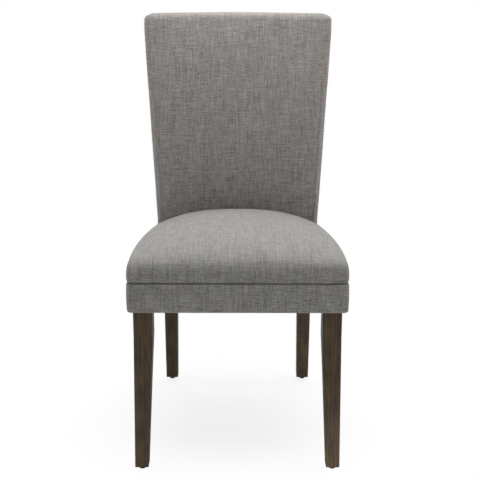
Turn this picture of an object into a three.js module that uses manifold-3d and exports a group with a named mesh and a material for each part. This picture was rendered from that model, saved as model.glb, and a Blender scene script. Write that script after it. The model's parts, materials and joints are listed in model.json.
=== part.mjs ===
import * as THREE from "three";
import { mergeVertices } from "three/addons/utils/BufferGeometryUtils.js";
import Module from "manifold-3d";

const wasm = await Module();
wasm.setup();

// Sizes in millimetres. The chair faces -Y, its right as seen from the front is +X and +Z is up.
// While it is built, y is zero at the front of the fabric band and z is zero at the floor.

// Clearances and sheets
const jointGap = 0.3;
const tenonEndGap = 1;
const cutOverrun = 60;
const fabricThickness = 1.5;
const webbingThickness = 1.4;
const dustClothThickness = 0.8;

// Overall form
const chairHeight = 1003;
const seatDepth = 428.5;
const floorToBand = 372.4;
const bandHeight = 63.4;
const glideHeight = 8;

// Seat frame
const frameHalfFront = 224.5;
const frameHalfRear = 196.5;
const railThickness = 22;
const bandPadding = 10;
const bandCornerRadius = 12;
const bandEdgeRoll = 3.5;
const flangeWidth = 15;

// Front legs
const legTopSize = 41.5;
const legFootSize = 30;
const legStraight = 60;
const legSplay = 4;
const legChamfer = 1.6;
const legTaperPower = 0.94;

// Rear posts, each one leg and back upright in one piece
const postWidth = 36;
const postFootWidth = 32;
const postDepthSeat = 44;
const postDepthTop = 36;
const postFootDepth = 32;
const postFootReach = 64;
const postSplay = 3;
const postSweepPower = 1.35;

// Back
const rakeSlope = 0.2;
const rakeBlendHeight = 110;
const rakeBlendLift = 14;
const backFlareSpread = 37.2;
const backFlareRise = 50;
const backFrontFoam = 27;
const backTopFoam = 15.5;
const backSideFoam = 9;
const backLowSideFoam = 8.3;
const backRearPadding = 4;
const backCrown = 4;
const backEdgeRadius = 14;
const backLowEdgeRadius = 3;
const backRearRadius = 5;
const backTopRollFront = 20;
const backTopRollSide = 26;
const backTopRollRear = 9;
const backSideRollPower = 2.4;
const backTopCrown = 3.2;
const backTopNarrowing = 4;
const backTopNarrowingHeight = 60;
const backBoardThickness = 22;

// Seat pad
const boardThickness = 12;
const boardMargin = 9;
const padBoxFront = 52.5;
const padBoxRear = 39.4;
const padBoxPower = 1.65;
const padCrownFront = 22;
const padCrownRear = 35.7;
const padCrownPower = 2.17;
const padNoseRoll = 58;
const padSideRoll = 14.2;
const padSidePower = 3.84;
const padRearRoll = 9;
const padSideBow = 3.1;
const padPullIn = 3;
const padReturn = 30;
const padCornerRadius = 12;
const padRearCornerRadius = 24;
const padCornerGrowth = 0.4;

// Corner blocks and hardware
const blockThickness = 22;
const blockHeight = 30;
const screwRadius = 2;
const screwHeadRadius = 4;
const screwHeadHeight = 2.4;
const screwBite = 16;
const boltRadius = 3;
const boltBite = 28;
const boltTail = 13;
const washerRadius = 9;
const washerThickness = 1.6;
const nutRadius = 5.8;
const nutHeight = 5;
const seatScrewBite = 8;
const seatScrewOffset = 21;
const glideRadius = 8;
const glideFlatRadius = 6.4;
const nailRadius = 1.3;
const nailLength = 17;

// Joinery shares: of the leg, of the rail's thickness and of the rail's height
const tenonLengthShare = 0.49;
const tenonThicknessShare = 0.45;
const tenonShoulderShare = 0.13;

// Back boards: each board's lower and upper edge as a share of the straight part of the posts
const backBoardShares = [
  ["lower_back_rail", 0.02, 0.13],
  ["middle_back_rail", 0.44, 0.54],
  ["crest_rail", 0.86, 1],
];
const webbingShares = [
  ["back_webbing_lower", 0.17, 0.29],
  ["back_webbing_middle", 0.34, 0.46],
  ["back_webbing_upper", 0.51, 0.63],
  ["back_webbing_top", 0.68, 0.8],
];

// Steps of the rounded forms, as shares or counts
const rakeLevelShares = [0, 0.2, 0.4, 0.6, 0.8, 1];
const backLevelShares = [0, 0.17, 0.34, 0.51, 0.68, 0.85, 1];
const rollShares = [0.35, 0.62, 0.82, 0.94, 1];
const padRollShares = [0.06, 0.32, 0.55, 0.73, 0.86, 0.945, 0.985, 1];
const padInnerShares = [0.8, 0.56, 0.3];
const sweepShares = [1, 0.84, 0.68, 0.52, 0.36, 0.2, 0];
const taperShares = [1, 0.75, 0.5, 0.25, 0];
const arcSteps = 3;
const turnSteps = 12;
const bandEdges = { front: 2, side: 2, rear: 0 };
const padEdges = { front: 6, side: 5, rear: 4 };
const backEdges = { front: 6, side: 0, rear: 0 };

// Levels that follow from the sizes
const bandTop = floorToBand + bandHeight;
const railBottom = floorToBand + fabricThickness + jointGap;
const railTop = bandTop - fabricThickness - jointGap;
const railHeight = railTop - railBottom;
const padBottom = bandTop + jointGap;
const boardBottom = padBottom + fabricThickness + jointGap;
const boardTop = boardBottom + boardThickness;
const rakeLow = boardTop + rakeBlendLift - boardThickness;
const rakeHigh = rakeLow + rakeBlendHeight;
const flareStart = bandTop + backFlareRise;
const backFlare = backFlareSpread / (chairHeight - flareStart);
const postTop = chairHeight - fabricThickness - backTopFoam - jointGap - jointGap;
const blockBottom = railTop - blockHeight;
const hardwareLevel = railTop - blockHeight / 2;

// Plan positions that follow from the sizes
const bandLayer = jointGap + bandPadding + jointGap + fabricThickness;
const frameFront = bandLayer;
const legRear = frameFront + legTopSize;
const legInner = frameHalfFront - legTopSize;
const frontLayer = fabricThickness + jointGap + backFrontFoam + jointGap + webbingThickness + jointGap;
const rearLayer = jointGap + backRearPadding + jointGap + fabricThickness;
const postFrontSeat = seatDepth + frontLayer;
const postInner = frameHalfRear - postWidth;
const backHalfSeat = frameHalfRear + jointGap * 3 + backLowSideFoam + fabricThickness;
const railSlope = (frameHalfFront - frameHalfRear) / (postFrontSeat - frameFront);
const bandRear = seatDepth - jointGap - jointGap;
const tenonThickness = railThickness * tenonThicknessShare;
const tenonInset = (railThickness - tenonThickness) / 2;
const tenonShoulder = railHeight * tenonShoulderShare;
const backRailFront = postFrontSeat + postDepthSeat - railThickness;

// Finishes, one for each kind of stuff
const finishes = {
  stainedWood: { color: 0x5d5345, roughness: 0.48, metalness: 0 },
  rawWood: { color: 0xc9a877, roughness: 0.75, metalness: 0 },
  plywood: { color: 0xd2b483, roughness: 0.8, metalness: 0 },
  greyFabric: { color: 0x8f8b87, roughness: 0.95, metalness: 0 },
  paleFoam: { color: 0xe6dcae, roughness: 0.95, metalness: 0 },
  wadding: { color: 0xf0efea, roughness: 1, metalness: 0 },
  webbing: { color: 0x4a4640, roughness: 0.9, metalness: 0 },
  dustCloth: { color: 0x1d1d1f, roughness: 0.95, metalness: 0 },
  steel: { color: 0xa8a9ad, roughness: 0.4, metalness: 1 },
  nylon: { color: 0x2b2723, roughness: 0.5, metalness: 0 },
};

// Closed solids from points and faces

/** A solid from a list of [x, y, z] points and a flat list of face corners. */
function solidFromFaces(points, faces) {
  const mesh = new wasm.Mesh({
    numProp: 3,
    vertProperties: Float32Array.from(points.flat()),
    triVerts: Uint32Array.from(faces),
  });
  return new wasm.Manifold(mesh);
}

/** Points and faces of a closed geometry, its seams merged and its empty faces dropped. */
function solidFromGeometry(geometry) {
  const bare = new THREE.BufferGeometry();
  bare.setAttribute("position", geometry.getAttribute("position").clone());
  bare.setIndex(geometry.index.clone());
  const merged = mergeVertices(bare);
  const place = merged.getAttribute("position");
  const points = [];
  for (let i = 0; i < place.count; i += 1) {
    points.push([place.getX(i), place.getY(i), place.getZ(i)]);
  }
  const corners = merged.index.array;
  const faces = [];
  for (let i = 0; i < corners.length; i += 3) {
    const [a, b, c] = [corners[i], corners[i + 1], corners[i + 2]];
    if (a !== b && b !== c && c !== a) faces.push(a, b, c);
  }
  return solidFromFaces(points, faces);
}

/** The middle of a ring of points. */
function ringCentre(ring) {
  const sum = ring.reduce((total, point) => total.map((value, axis) => value + point[axis]), [0, 0, 0]);
  return sum.map((value) => value / ring.length);
}

/** A closed solid through rings of equal count, from the lowest up, each counter-clockwise from above. */
function loft(rings, peak = ringCentre(rings[rings.length - 1])) {
  const count = rings[0].length;
  const points = rings.flat();
  const faces = [];
  for (let level = 0; level + 1 < rings.length; level += 1) {
    for (let i = 0; i < count; i += 1) {
      const a = level * count + i;
      const b = level * count + ((i + 1) % count);
      faces.push(a, b, b + count, a, b + count, a + count);
    }
  }
  const lowCentre = points.push(ringCentre(rings[0])) - 1;
  const highCentre = points.push(peak) - 1;
  const lastRing = (rings.length - 1) * count;
  for (let i = 0; i < count; i += 1) {
    const j = (i + 1) % count;
    faces.push(lowCentre, j, i, highCentre, lastRing + i, lastRing + j);
  }
  return solidFromFaces(points, faces);
}

/** An upright prism over a convex plan. */
function prism(plan, low, high) {
  return loft([low, high].map((z) => plan.map(([x, y]) => [x, y, z])));
}

/** A box between two corners. */
function box([x0, y0, z0], [x1, y1, z1]) {
  return prism([[x0, y0], [x1, y0], [x1, y1], [x0, y1]], z0, z1);
}

/** A solid turned from a profile of [radius, height] about an axis from a point along a direction. */
function turned(profile, from, along) {
  const outline = profile.map(([radius, height]) => new THREE.Vector2(radius, height));
  const geometry = new THREE.LatheGeometry(outline, turnSteps);
  const turn = new THREE.Quaternion().setFromUnitVectors(
    new THREE.Vector3(0, 1, 0),
    new THREE.Vector3(...along).normalize(),
  );
  geometry.applyQuaternion(turn);
  geometry.translate(...from);
  return solidFromGeometry(geometry);
}

/** The first solid with the others cut away. */
function cut(solid, ...tools) {
  return tools.reduce((left, tool) => left.subtract(tool), solid);
}

/** A solid mirrored to the other side of the chair. */
function mirrored(solid) {
  const { points, faces } = facesOf(solid);
  const flipped = [];
  for (let i = 0; i < faces.length; i += 3) flipped.push(faces[i], faces[i + 2], faces[i + 1]);
  return solidFromFaces(points.map(([x, y, z]) => [-x, y, z]), flipped);
}

/** A solid's points and faces. */
function facesOf(solid) {
  const mesh = solid.getMesh();
  const points = [];
  for (let i = 0; i < mesh.vertProperties.length; i += mesh.numProp) {
    points.push(Array.from(mesh.vertProperties.subarray(i, i + 3)));
  }
  return { points, faces: Array.from(mesh.triVerts) };
}

/** The point where two plan lines a * x + b * y = c cross. */
function crossing([a0, b0, c0], [a1, b1, c1]) {
  const scale = a0 * b1 - a1 * b0;
  return [(c0 * b1 - c1 * b0) / scale, (a0 * c1 - a1 * c0) / scale];
}

/** A ring with cut-off corners at one height. */
function chamferedRing([x0, x1], [y0, y1], size, z) {
  return [
    [x0 + size, y0, z],
    [x1 - size, y0, z],
    [x1, y0 + size, z],
    [x1, y1 - size, z],
    [x1 - size, y1, z],
    [x0 + size, y1, z],
    [x0, y1 - size, z],
    [x0, y0 + size, z],
  ];
}

/** A rounded plan, counter-clockwise from its front right corner, with extra points along its edges. */
function roundedPlan({ half, front, rear, frontRadius, rearRadius, edges }) {
  const corners = [
    { x: half - frontRadius, y: front + frontRadius, radius: frontRadius, next: edges.side },
    { x: half - rearRadius, y: rear - rearRadius, radius: rearRadius, next: edges.rear },
    { x: rearRadius - half, y: rear - rearRadius, radius: rearRadius, next: edges.side },
    { x: frontRadius - half, y: front + frontRadius, radius: frontRadius, next: edges.front },
  ];
  const pointAt = ({ x, y, radius }, quarter, step) => {
    const angle = ((quarter - 1 + step / arcSteps) * Math.PI) / 2;
    return [x + radius * Math.cos(angle), y + radius * Math.sin(angle)];
  };
  return corners.flatMap((corner, quarter) => {
    const arc = Array.from({ length: arcSteps + 1 }, (_, step) => pointAt(corner, quarter, step));
    const following = pointAt(corners[(quarter + 1) % corners.length], quarter + 1, 0);
    const last = arc[arcSteps];
    const along = Array.from({ length: corner.next }, (_, i) => {
      const share = (i + 1) / (corner.next + 1);
      return last.map((value, axis) => value + (following[axis] - value) * share);
    });
    return [...arc, ...along];
  });
}

// Lines that several pieces share

/** Half the width over the outer faces of the side rails at one depth. */
function railOuter(y) {
  return frameHalfFront - railSlope * (y - frameFront);
}

/** Half the width over the fabric band at one depth. */
function bandOuter(y) {
  return railOuter(y) + bandLayer;
}

/** How far the back has leaned rearward at one height. */
function lean(z) {
  if (z <= rakeLow) return 0;
  if (z >= rakeHigh) return rakeSlope * (z - (rakeLow + rakeHigh) / 2);
  return (rakeSlope * (z - rakeLow) ** 2) / (2 * (rakeHigh - rakeLow));
}

/** How much of the rear leg's rearward sweep is reached at one height. */
function sweepAt(z) {
  const share = Math.max(floorToBand - z, 0) / (floorToBand - glideHeight);
  return share ** postSweepPower;
}

/** The y of a rear post's front face at one height. */
function postFront(z) {
  return postFrontSeat + postFootReach * sweepAt(z) + lean(z);
}

/** The depth of a rear post at one height. */
function postDepth(z) {
  if (z < floorToBand) return postDepthSeat - (postDepthSeat - postFootDepth) * sweepAt(z);
  const share = Math.max(z - rakeHigh, 0) / (postTop - rakeHigh);
  return postDepthSeat - (postDepthSeat - postDepthTop) * share;
}

/** The y of a rear post's rear face at one height. */
function postRear(z) {
  return postFront(z) + postDepth(z);
}

/** Half the width over the back's fabric at one height, its flare eased near the top. */
function backHalf(z) {
  const flared = backHalfSeat + backFlare * Math.max(z - flareStart, 0);
  const above = Math.max(z - chairHeight + backTopNarrowingHeight, 0) / backTopNarrowingHeight;
  return flared - backTopNarrowing * above ** 2;
}

/** Half the width of the room inside the back's side foam at one height. */
function backRoomHalf(z) {
  const filled = backHalf(z) - fabricThickness - jointGap - backSideFoam;
  return Math.max(filled, frameHalfRear + jointGap + jointGap);
}

/** Heights between two levels, at a list of shares. */
function levels(low, high, shares) {
  return shares.map((share) => low + (high - low) * share);
}

// Front legs and rear posts

/** A front leg's ring at one height, wider and upright near the seat. */
function legRing(z) {
  const top = floorToBand - legStraight;
  const share = Math.max(top - z, 0) / (top - glideHeight);
  const size = legTopSize - (legTopSize - legFootSize) * share ** legTaperPower;
  const outer = frameHalfFront + legSplay * share;
  const front = frameFront - legSplay * share;
  return chamferedRing([outer - size, outer], [front, front + size], legChamfer, z);
}

/** The right front leg without its holes. */
function legBody() {
  const tapered = levels(floorToBand - legStraight, glideHeight, taperShares);
  return loft([...tapered, railTop].map(legRing));
}

/** The middle of the right front foot in plan. */
function legFootCentre() {
  const [x, y] = ringCentre(legRing(glideHeight));
  return [x, y];
}

/** A rear post's ring at one height. */
function postRing(z) {
  const sweep = sweepAt(z);
  const width = postWidth - (postWidth - postFootWidth) * sweep;
  const outer = frameHalfRear + postSplay * sweep;
  return chamferedRing([outer - width, outer], [postFront(z), postRear(z)], legChamfer, z);
}

/** The right rear post without its holes. */
function postBody() {
  const legLevels = levels(floorToBand, glideHeight, sweepShares);
  const rakeLevels = levels(rakeLow, rakeHigh, rakeLevelShares);
  return loft([...legLevels, ...rakeLevels, postTop].map(postRing));
}

/** The middle of the right rear foot in plan. */
function postFootCentre() {
  const [x, y] = ringCentre(postRing(glideHeight));
  return [x, y];
}

// Rails and their tenons

/** A tenon's half of a rail joint, or its mortise when a gap is added. */
function frontTenon(grow) {
  const end = legInner + legTopSize * tenonLengthShare;
  return box(
    [legInner - cutOverrun * (grow > 0 ? 1 : 0) - jointGap, frameFront + tenonInset - grow, railBottom + tenonShoulder - grow],
    [end + (grow > 0 ? tenonEndGap : 0), frameFront + railThickness - tenonInset + grow, railTop - tenonShoulder + grow],
  );
}

/** The slanting plan of a side rail between two depths, drawn in from both faces. */
function sidePlan(y0, y1, inset) {
  return [
    [railOuter(y0) - railThickness + inset, y0],
    [railOuter(y0) - inset, y0],
    [railOuter(y1) - inset, y1],
    [railOuter(y1) - railThickness + inset, y1],
  ];
}

/** Both tenons of a side rail with the stretch between them, or their mortises when a gap is added. */
function sideTenons(grow) {
  const endGap = grow > 0 ? tenonEndGap : 0;
  const front = legRear - legTopSize * tenonLengthShare - endGap;
  const rear = postFrontSeat + postDepthSeat * tenonLengthShare + endGap;
  const plan = sidePlan(front, rear, tenonInset - grow);
  return prism(plan, railBottom + tenonShoulder - grow, railTop - tenonShoulder + grow);
}

/** A tenon of the rail behind the seat, or its mortise when a gap is added. */
function backTenon(grow) {
  const reach = grow > 0 ? cutOverrun : 0;
  const end = postInner + postWidth * tenonLengthShare + (grow > 0 ? tenonEndGap : 0);
  return box(
    [postInner - reach - jointGap, backRailFront + tenonInset - grow, railBottom + tenonShoulder - grow],
    [end, backRailFront + railThickness - tenonInset + grow, railTop - tenonShoulder + grow],
  );
}

/** A board across the back that leans with the posts, from its half width, faces and levels. */
function leaningBoard(half, low, high, frontInset, rearInset) {
  const rings = [low, high].map((z) => [
    [-half, postFront(z) + frontInset, z],
    [half, postFront(z) + frontInset, z],
    [half, postFront(z) + backBoardThickness - rearInset, z],
    [-half, postFront(z) + backBoardThickness - rearInset, z],
  ]);
  return loft(rings);
}

/** The levels of a back board on the straight part of the posts. */
function boardLevels(lowShare, highShare) {
  return levels(rakeHigh, postTop, [lowShare, highShare]);
}

/** Both tenons of a back board as one long tongue, or their mortises when a gap is added. */
function backBoardTongue([low, high], grow) {
  const end = postInner + postWidth * tenonLengthShare + (grow > 0 ? tenonEndGap : 0);
  const inset = (backBoardThickness * (1 - tenonThicknessShare)) / 2 - grow;
  const shoulder = (high - low) * tenonShoulderShare - grow;
  return leaningBoard(end, low + shoulder, high - shoulder, inset, inset);
}

/** A back board between the posts with a tenon at each end. */
function backBoard(span) {
  const body = leaningBoard(postInner - jointGap, span[0], span[1], 0, 0);
  return body.add(backBoardTongue(span, 0));
}

// Corner blocks with their screws and bolts

/** The plan lines and points of the right front or right rear corner block. */
function blockLayout(isFront) {
  const root = Math.SQRT1_2;
  const normal = isFront ? [root, -root] : [root, root];
  const corner = isFront ? [legInner, legRear] : [postInner, postFrontSeat];
  const facing = corner[0] * normal[0] + corner[1] * normal[1] - jointGap;
  const outerLine = [...normal, facing];
  const innerLine = [...normal, facing - blockThickness];
  const sideInner = frameHalfFront + railSlope * frameFront - railThickness - jointGap;
  const sideLine = [1, railSlope, sideInner];
  const crossY = isFront ? frameFront + railThickness + jointGap : backRailFront - jointGap;
  const crossLine = [0, 1, crossY];
  const points = [
    crossing(innerLine, crossLine),
    crossing(outerLine, crossLine),
    crossing(outerLine, sideLine),
    crossing(innerLine, sideLine),
  ];
  const plan = isFront ? points : [...points].reverse();
  return { normal, corner, points, plan };
}

/** The middle between two plan points. */
function midway(a, b) {
  return [(a[0] + b[0]) / 2, (a[1] + b[1]) / 2];
}

/** A plan point moved along a plan direction. */
function moved(point, direction, distance) {
  return [point[0] + direction[0] * distance, point[1] + direction[1] * distance];
}

/** A countersunk screw's profile from its tip, or the profile of its hole when a gap is added. */
function screwProfile(length, grow) {
  const shaft = screwRadius + grow;
  const head = screwHeadRadius + grow;
  const end = grow > 0 ? length + cutOverrun : length;
  const profile = [
    [0, -grow],
    [shaft / 2, -grow],
    [shaft, screwRadius],
    [shaft, length - screwHeadHeight],
    [head, length],
  ];
  return grow > 0 ? [...profile, [head, end], [0, end]] : [...profile, [0, end]];
}

/** The two screws that hold a block, to the cross rail and to the side rail. */
function blockScrews(isFront, grow) {
  const { normal, points } = blockLayout(isFront);
  const [innerCross, outerCross, outerSide, innerSide] = points;
  return [midway(innerCross, outerCross), midway(innerSide, outerSide)].map((entry) => {
    const inner = innerCross[0] * normal[0] + innerCross[1] * normal[1];
    const behind = entry[0] * normal[0] + entry[1] * normal[1] - inner;
    const [x, y] = moved(entry, normal, screwBite);
    const back = [-normal[0], -normal[1], 0];
    return turned(screwProfile(screwBite + behind, grow), [x, y, hardwareLevel], back);
  });
}

/** Where the seat screw passes up through a block in plan. */
function seatScrewPlace(isFront) {
  const { normal, corner } = blockLayout(isFront);
  const middle = moved(corner, normal, -jointGap - blockThickness / 2);
  const along = isFront ? [-normal[0], normal[1]] : [-normal[0], normal[1]];
  return moved(middle, along, seatScrewOffset);
}

/** The screw that holds the seat board down, from under a block. */
function seatScrew(isFront, grow) {
  const [x, y] = seatScrewPlace(isFront);
  const length = boardBottom + seatScrewBite - blockBottom;
  return turned(screwProfile(length, grow), [x, y, boardBottom + seatScrewBite], [0, 0, -1]);
}

/** A plain pin along the front block's axis, from one distance to another off the leg's inner corner. */
function boltPin(radius, from, to) {
  const { normal, corner } = blockLayout(true);
  const [x, y] = moved(corner, normal, from);
  const profile = [[0, 0], [radius, 0], [radius, to - from], [0, to - from]];
  return turned(profile, [x, y, hardwareLevel], [...normal, 0]);
}

/** The hanger bolt of the right front leg, or its hole when a gap is added. */
function hangerBolt(grow) {
  const blockFace = -jointGap - blockThickness;
  return boltPin(boltRadius + grow, blockFace - boltTail - grow, boltBite + grow);
}

/** The washer on the right front block. */
function boltWasher() {
  const face = -jointGap - blockThickness - jointGap;
  return cut(boltPin(washerRadius, face - washerThickness, face), hangerBolt(jointGap));
}

/** The hexagon nut on the right hanger bolt. */
function boltNut() {
  const { normal, corner } = blockLayout(true);
  const face = -jointGap - blockThickness - jointGap - washerThickness - jointGap;
  const [x, y] = moved(corner, normal, face - nutHeight);
  const hexagon = new THREE.CylinderGeometry(nutRadius, nutRadius, nutHeight, 6);
  hexagon.translate(0, nutHeight / 2, 0);
  const turn = new THREE.Quaternion().setFromUnitVectors(
    new THREE.Vector3(0, 1, 0),
    new THREE.Vector3(...normal, 0),
  );
  hexagon.applyQuaternion(turn);
  hexagon.translate(x, y, hardwareLevel);
  return cut(solidFromGeometry(hexagon), hangerBolt(jointGap));
}

/** A corner block with the holes for everything that passes through it. */
function cornerBlock(isFront) {
  const body = prism(blockLayout(isFront).plan, blockBottom, railTop);
  const holes = [...blockScrews(isFront, jointGap), seatScrew(isFront, jointGap)];
  return cut(body, ...holes, ...(isFront ? [hangerBolt(jointGap)] : []));
}

// Glides

/** A nail-on glide under a foot, or the hole for its nail when a gap is added. */
function glideNail([x, y], grow) {
  const shaft = nailRadius + grow;
  const profile = [[0, -cutOverrun], [shaft, -cutOverrun], [shaft, nailLength], [0, nailLength + shaft]];
  return turned(profile, [x, y, glideHeight], [0, 0, 1]);
}

/** A nail-on glide under a foot. */
function glide([x, y]) {
  const top = glideHeight - jointGap;
  const profile = [
    [0, 0],
    [glideFlatRadius, 0],
    [glideRadius, glideRadius - glideFlatRadius],
    [glideRadius, top],
    [nailRadius, top],
    [nailRadius, glideHeight + nailLength - nailRadius],
    [0, glideHeight + nailLength - jointGap],
  ];
  return turned(profile, [x, y, 0], [0, 0, 1]);
}

// Finished frame pieces

/** The right front leg with its mortises and holes. */
function frontLeg() {
  return cut(
    legBody(),
    frontTenon(jointGap),
    sideTenons(jointGap),
    hangerBolt(jointGap),
    glideNail(legFootCentre(), jointGap),
  );
}

/** The right rear post with its mortises and holes. */
function rearPost() {
  const boards = backBoardShares.map(([, low, high]) => backBoardTongue(boardLevels(low, high), jointGap));
  const glideHole = glideNail(postFootCentre(), jointGap);
  return cut(postBody(), backTenon(jointGap), sideTenons(jointGap), glideHole, ...boards);
}

/** The front rail with a tenon at each end and the screw holes of the front blocks. */
function frontRail() {
  const half = legInner - jointGap;
  const body = box([-half, frameFront, railBottom], [half, frameFront + railThickness, railTop]);
  const tenon = frontTenon(0);
  const hole = blockScrews(true, jointGap)[0];
  return cut(body.add(tenon).add(mirrored(tenon)), hole, mirrored(hole));
}

/** The right side rail with both tenons and the screw holes of its blocks. */
function sideRail() {
  const plan = sidePlan(legRear + jointGap, postFrontSeat - jointGap, 0);
  const body = prism(plan, railBottom, railTop).add(sideTenons(0));
  return cut(body, blockScrews(true, jointGap)[1], blockScrews(false, jointGap)[1]);
}

/** The rail behind the seat with its tenons and the screw holes of the rear blocks. */
function backRail() {
  const half = postInner - jointGap;
  const body = box([-half, backRailFront, railBottom], [half, backRailFront + railThickness, railTop]);
  const tenon = backTenon(0);
  const hole = blockScrews(false, jointGap)[0];
  return cut(body.add(tenon).add(mirrored(tenon)), hole, mirrored(hole));
}

/** The tapered strip that widens the right post toward the top of the back. */
function flareStrip() {
  const rings = [rakeHigh, postTop].map((z) => [
    [frameHalfRear + jointGap, postFront(z) + jointGap, z],
    [backRoomHalf(z) - jointGap, postFront(z) + jointGap, z],
    [backRoomHalf(z) - jointGap, postRear(z), z],
    [frameHalfRear + jointGap, postRear(z), z],
  ]);
  return loft(rings);
}

// The fabric band round the seat frame

/** A ring of the band's outline at one height, drawn in from its outer face. */
function bandRing(inset, z) {
  const wide = bandOuter(0);
  const radius = Math.max(bandCornerRadius - inset, jointGap);
  const plan = roundedPlan({
    half: wide - inset,
    front: inset,
    rear: seatDepth + cutOverrun,
    frontRadius: radius,
    rearRadius: radius,
    edges: bandEdges,
  });
  return plan.map(([x, y]) => [x * (bandOuter(y) / wide), y, z]);
}

/** Everything behind the band's rear ends. */
function behindBand() {
  const half = frameHalfFront + cutOverrun;
  return box([-half, bandRear, glideHeight], [half, seatDepth + cutOverrun * 2, chairHeight]);
}

/** Room for both front legs through a sheet. */
function legRooms(low, high) {
  const half = frameHalfFront + jointGap;
  const inner = legInner - jointGap;
  const front = frameFront - jointGap;
  const room = box([inner, front, low], [half, legRear + jointGap, high]);
  return [room, mirrored(room)];
}

/** The wadding between the rails and the band. */
function railPadding() {
  const inset = fabricThickness + jointGap;
  const outer = loft([railBottom, railTop].map((z) => bandRing(inset, z)));
  const inner = loft([glideHeight, chairHeight].map((z) => bandRing(bandLayer - jointGap, z)));
  return cut(outer, inner, behindBand(), ...legRooms(glideHeight, chairHeight));
}

/** The fabric band, turned in over the rails and under them. */
function railCover() {
  const roll = bandEdgeRoll;
  const outer = loft([
    bandRing(roll, floorToBand),
    bandRing(roll * (1 - Math.SQRT1_2), floorToBand + roll * (1 - Math.SQRT1_2)),
    bandRing(0, floorToBand + roll),
    bandRing(0, bandTop - roll),
    bandRing(roll * (1 - Math.SQRT1_2), bandTop - roll * (1 - Math.SQRT1_2)),
    bandRing(roll, bandTop),
  ]);
  const innerLevels = [floorToBand + fabricThickness, bandTop - fabricThickness];
  const inner = loft(innerLevels.map((z) => bandRing(fabricThickness, z)));
  const opening = loft([glideHeight, chairHeight].map((z) => bandRing(bandLayer + flangeWidth, z)));
  return cut(outer, inner, opening, behindBand(), ...legRooms(glideHeight, railTop));
}

// The seat pad

/** Half the width over the seat pad at one depth. */
function padOuter(y) {
  const share = Math.min(Math.max(y / seatDepth, 0), 1);
  return bandOuter(y) + padSideBow * 4 * share * (1 - share);
}

/** The pad's full height over the seam at one place. */
function padRise(x, y) {
  const share = Math.min(Math.max(y / seatDepth, 0), 1);
  const boxing = padBoxFront + (padBoxRear - padBoxFront) * share ** padBoxPower;
  const crown = padCrownFront + (padCrownRear - padCrownFront) * share;
  const across = Math.min(Math.abs(x) / padOuter(y), 1);
  return boxing + crown * (1 - across ** padCrownPower);
}

/** How far a roll of one size has come in at a share of its height. */
function rollIn(size, share, power) {
  return size * (1 - (1 - share ** power) ** (1 / power));
}

/** A ring of the pad at a share of its height, drawn in from its outer face. */
function padRing(inset, share, base) {
  const wide = padOuter(0);
  const nose = rollIn(padNoseRoll - inset, share, 2);
  const plan = roundedPlan({
    half: wide - inset - rollIn(padSideRoll - inset, share, padSidePower),
    front: inset + nose,
    rear: bandRear - inset - rollIn(padRearRoll - inset, share, 2),
    frontRadius: padCornerRadius - inset + nose * padCornerGrowth,
    rearRadius: padRearCornerRadius - inset,
    edges: padEdges,
  });
  return plan.map(([x, y]) => {
    const placed = x * (padOuter(y) / wide);
    return [placed, y, base + share * (padRise(placed, y) + padBottom - base - inset)];
  });
}

/** A pad ring shrunk toward the middle of the seat, on the crown. */
function padInnerRing(inset, share) {
  const outline = padRing(inset, 1, padBottom);
  const [middleX, middleY] = ringCentre(outline);
  return outline.map(([x, y]) => {
    const placedX = middleX + (x - middleX) * share;
    const placedY = middleY + (y - middleY) * share;
    return [placedX, placedY, padBottom + padRise(placedX, placedY) - inset];
  });
}

/** The pad's closed form, drawn in from its outer face, from a flat bottom at one height. */
function padForm(inset, bottom) {
  const pulled = padRing(inset, 0, bottom).map(([x, y, z]) => {
    const pull = 1 - padPullIn / frameHalfFront;
    const middle = seatDepth / 2;
    return [x * pull, middle + (y - middle) * pull, z];
  });
  const rolled = padRollShares.map((share) => padRing(inset, share, bottom));
  const inner = padInnerShares.map((share) => padInnerRing(inset, share));
  const [middleX, middleY] = ringCentre(inner[inner.length - 1]);
  const peak = [middleX, middleY, padBottom + padRise(middleX, middleY) - inset];
  return loft([pulled, ...rolled, ...inner], peak);
}

/** The plan of the seat board, or of its room when a gap is added. */
function boardForm(grow, low, high) {
  const wide = bandOuter(0);
  const inset = fabricThickness + boardMargin - grow;
  const plan = roundedPlan({
    half: wide - inset,
    front: inset,
    rear: bandRear - inset,
    frontRadius: padCornerRadius,
    rearRadius: padCornerRadius,
    edges: bandEdges,
  });
  return prism(plan.map(([x, y]) => [x * (bandOuter(y) / wide), y]), low, high);
}

/** The plywood board under the seat foam. */
function seatBoard() {
  const holes = [seatScrew(true, jointGap), seatScrew(false, jointGap)];
  return cut(boardForm(0, boardBottom, boardTop), ...holes, ...holes.map(mirrored));
}

/** The seat's crowned foam, wrapped round the edge of the board. */
function seatFoam() {
  const form = padForm(fabricThickness + jointGap, boardBottom);
  return cut(form, boardForm(jointGap, glideHeight, boardTop + jointGap));
}

/** The seat's fabric cover with its return under the board. */
function seatCover() {
  const shell = cut(padForm(0, padBottom), padForm(fabricThickness, padBottom + fabricThickness));
  const opening = loft([glideHeight, boardBottom].map((z) => bandRing(bandLayer + padReturn, z)));
  const rearLip = box(
    [-legInner, seatDepth / 2, glideHeight],
    [legInner, bandRear - padReturn, padBottom + fabricThickness],
  );
  return cut(shell, opening.intersect(box(
    [-frameHalfFront, 0, glideHeight],
    [frameHalfFront, bandRear - padReturn, boardBottom],
  )), rearLip);
}

// The back

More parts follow.
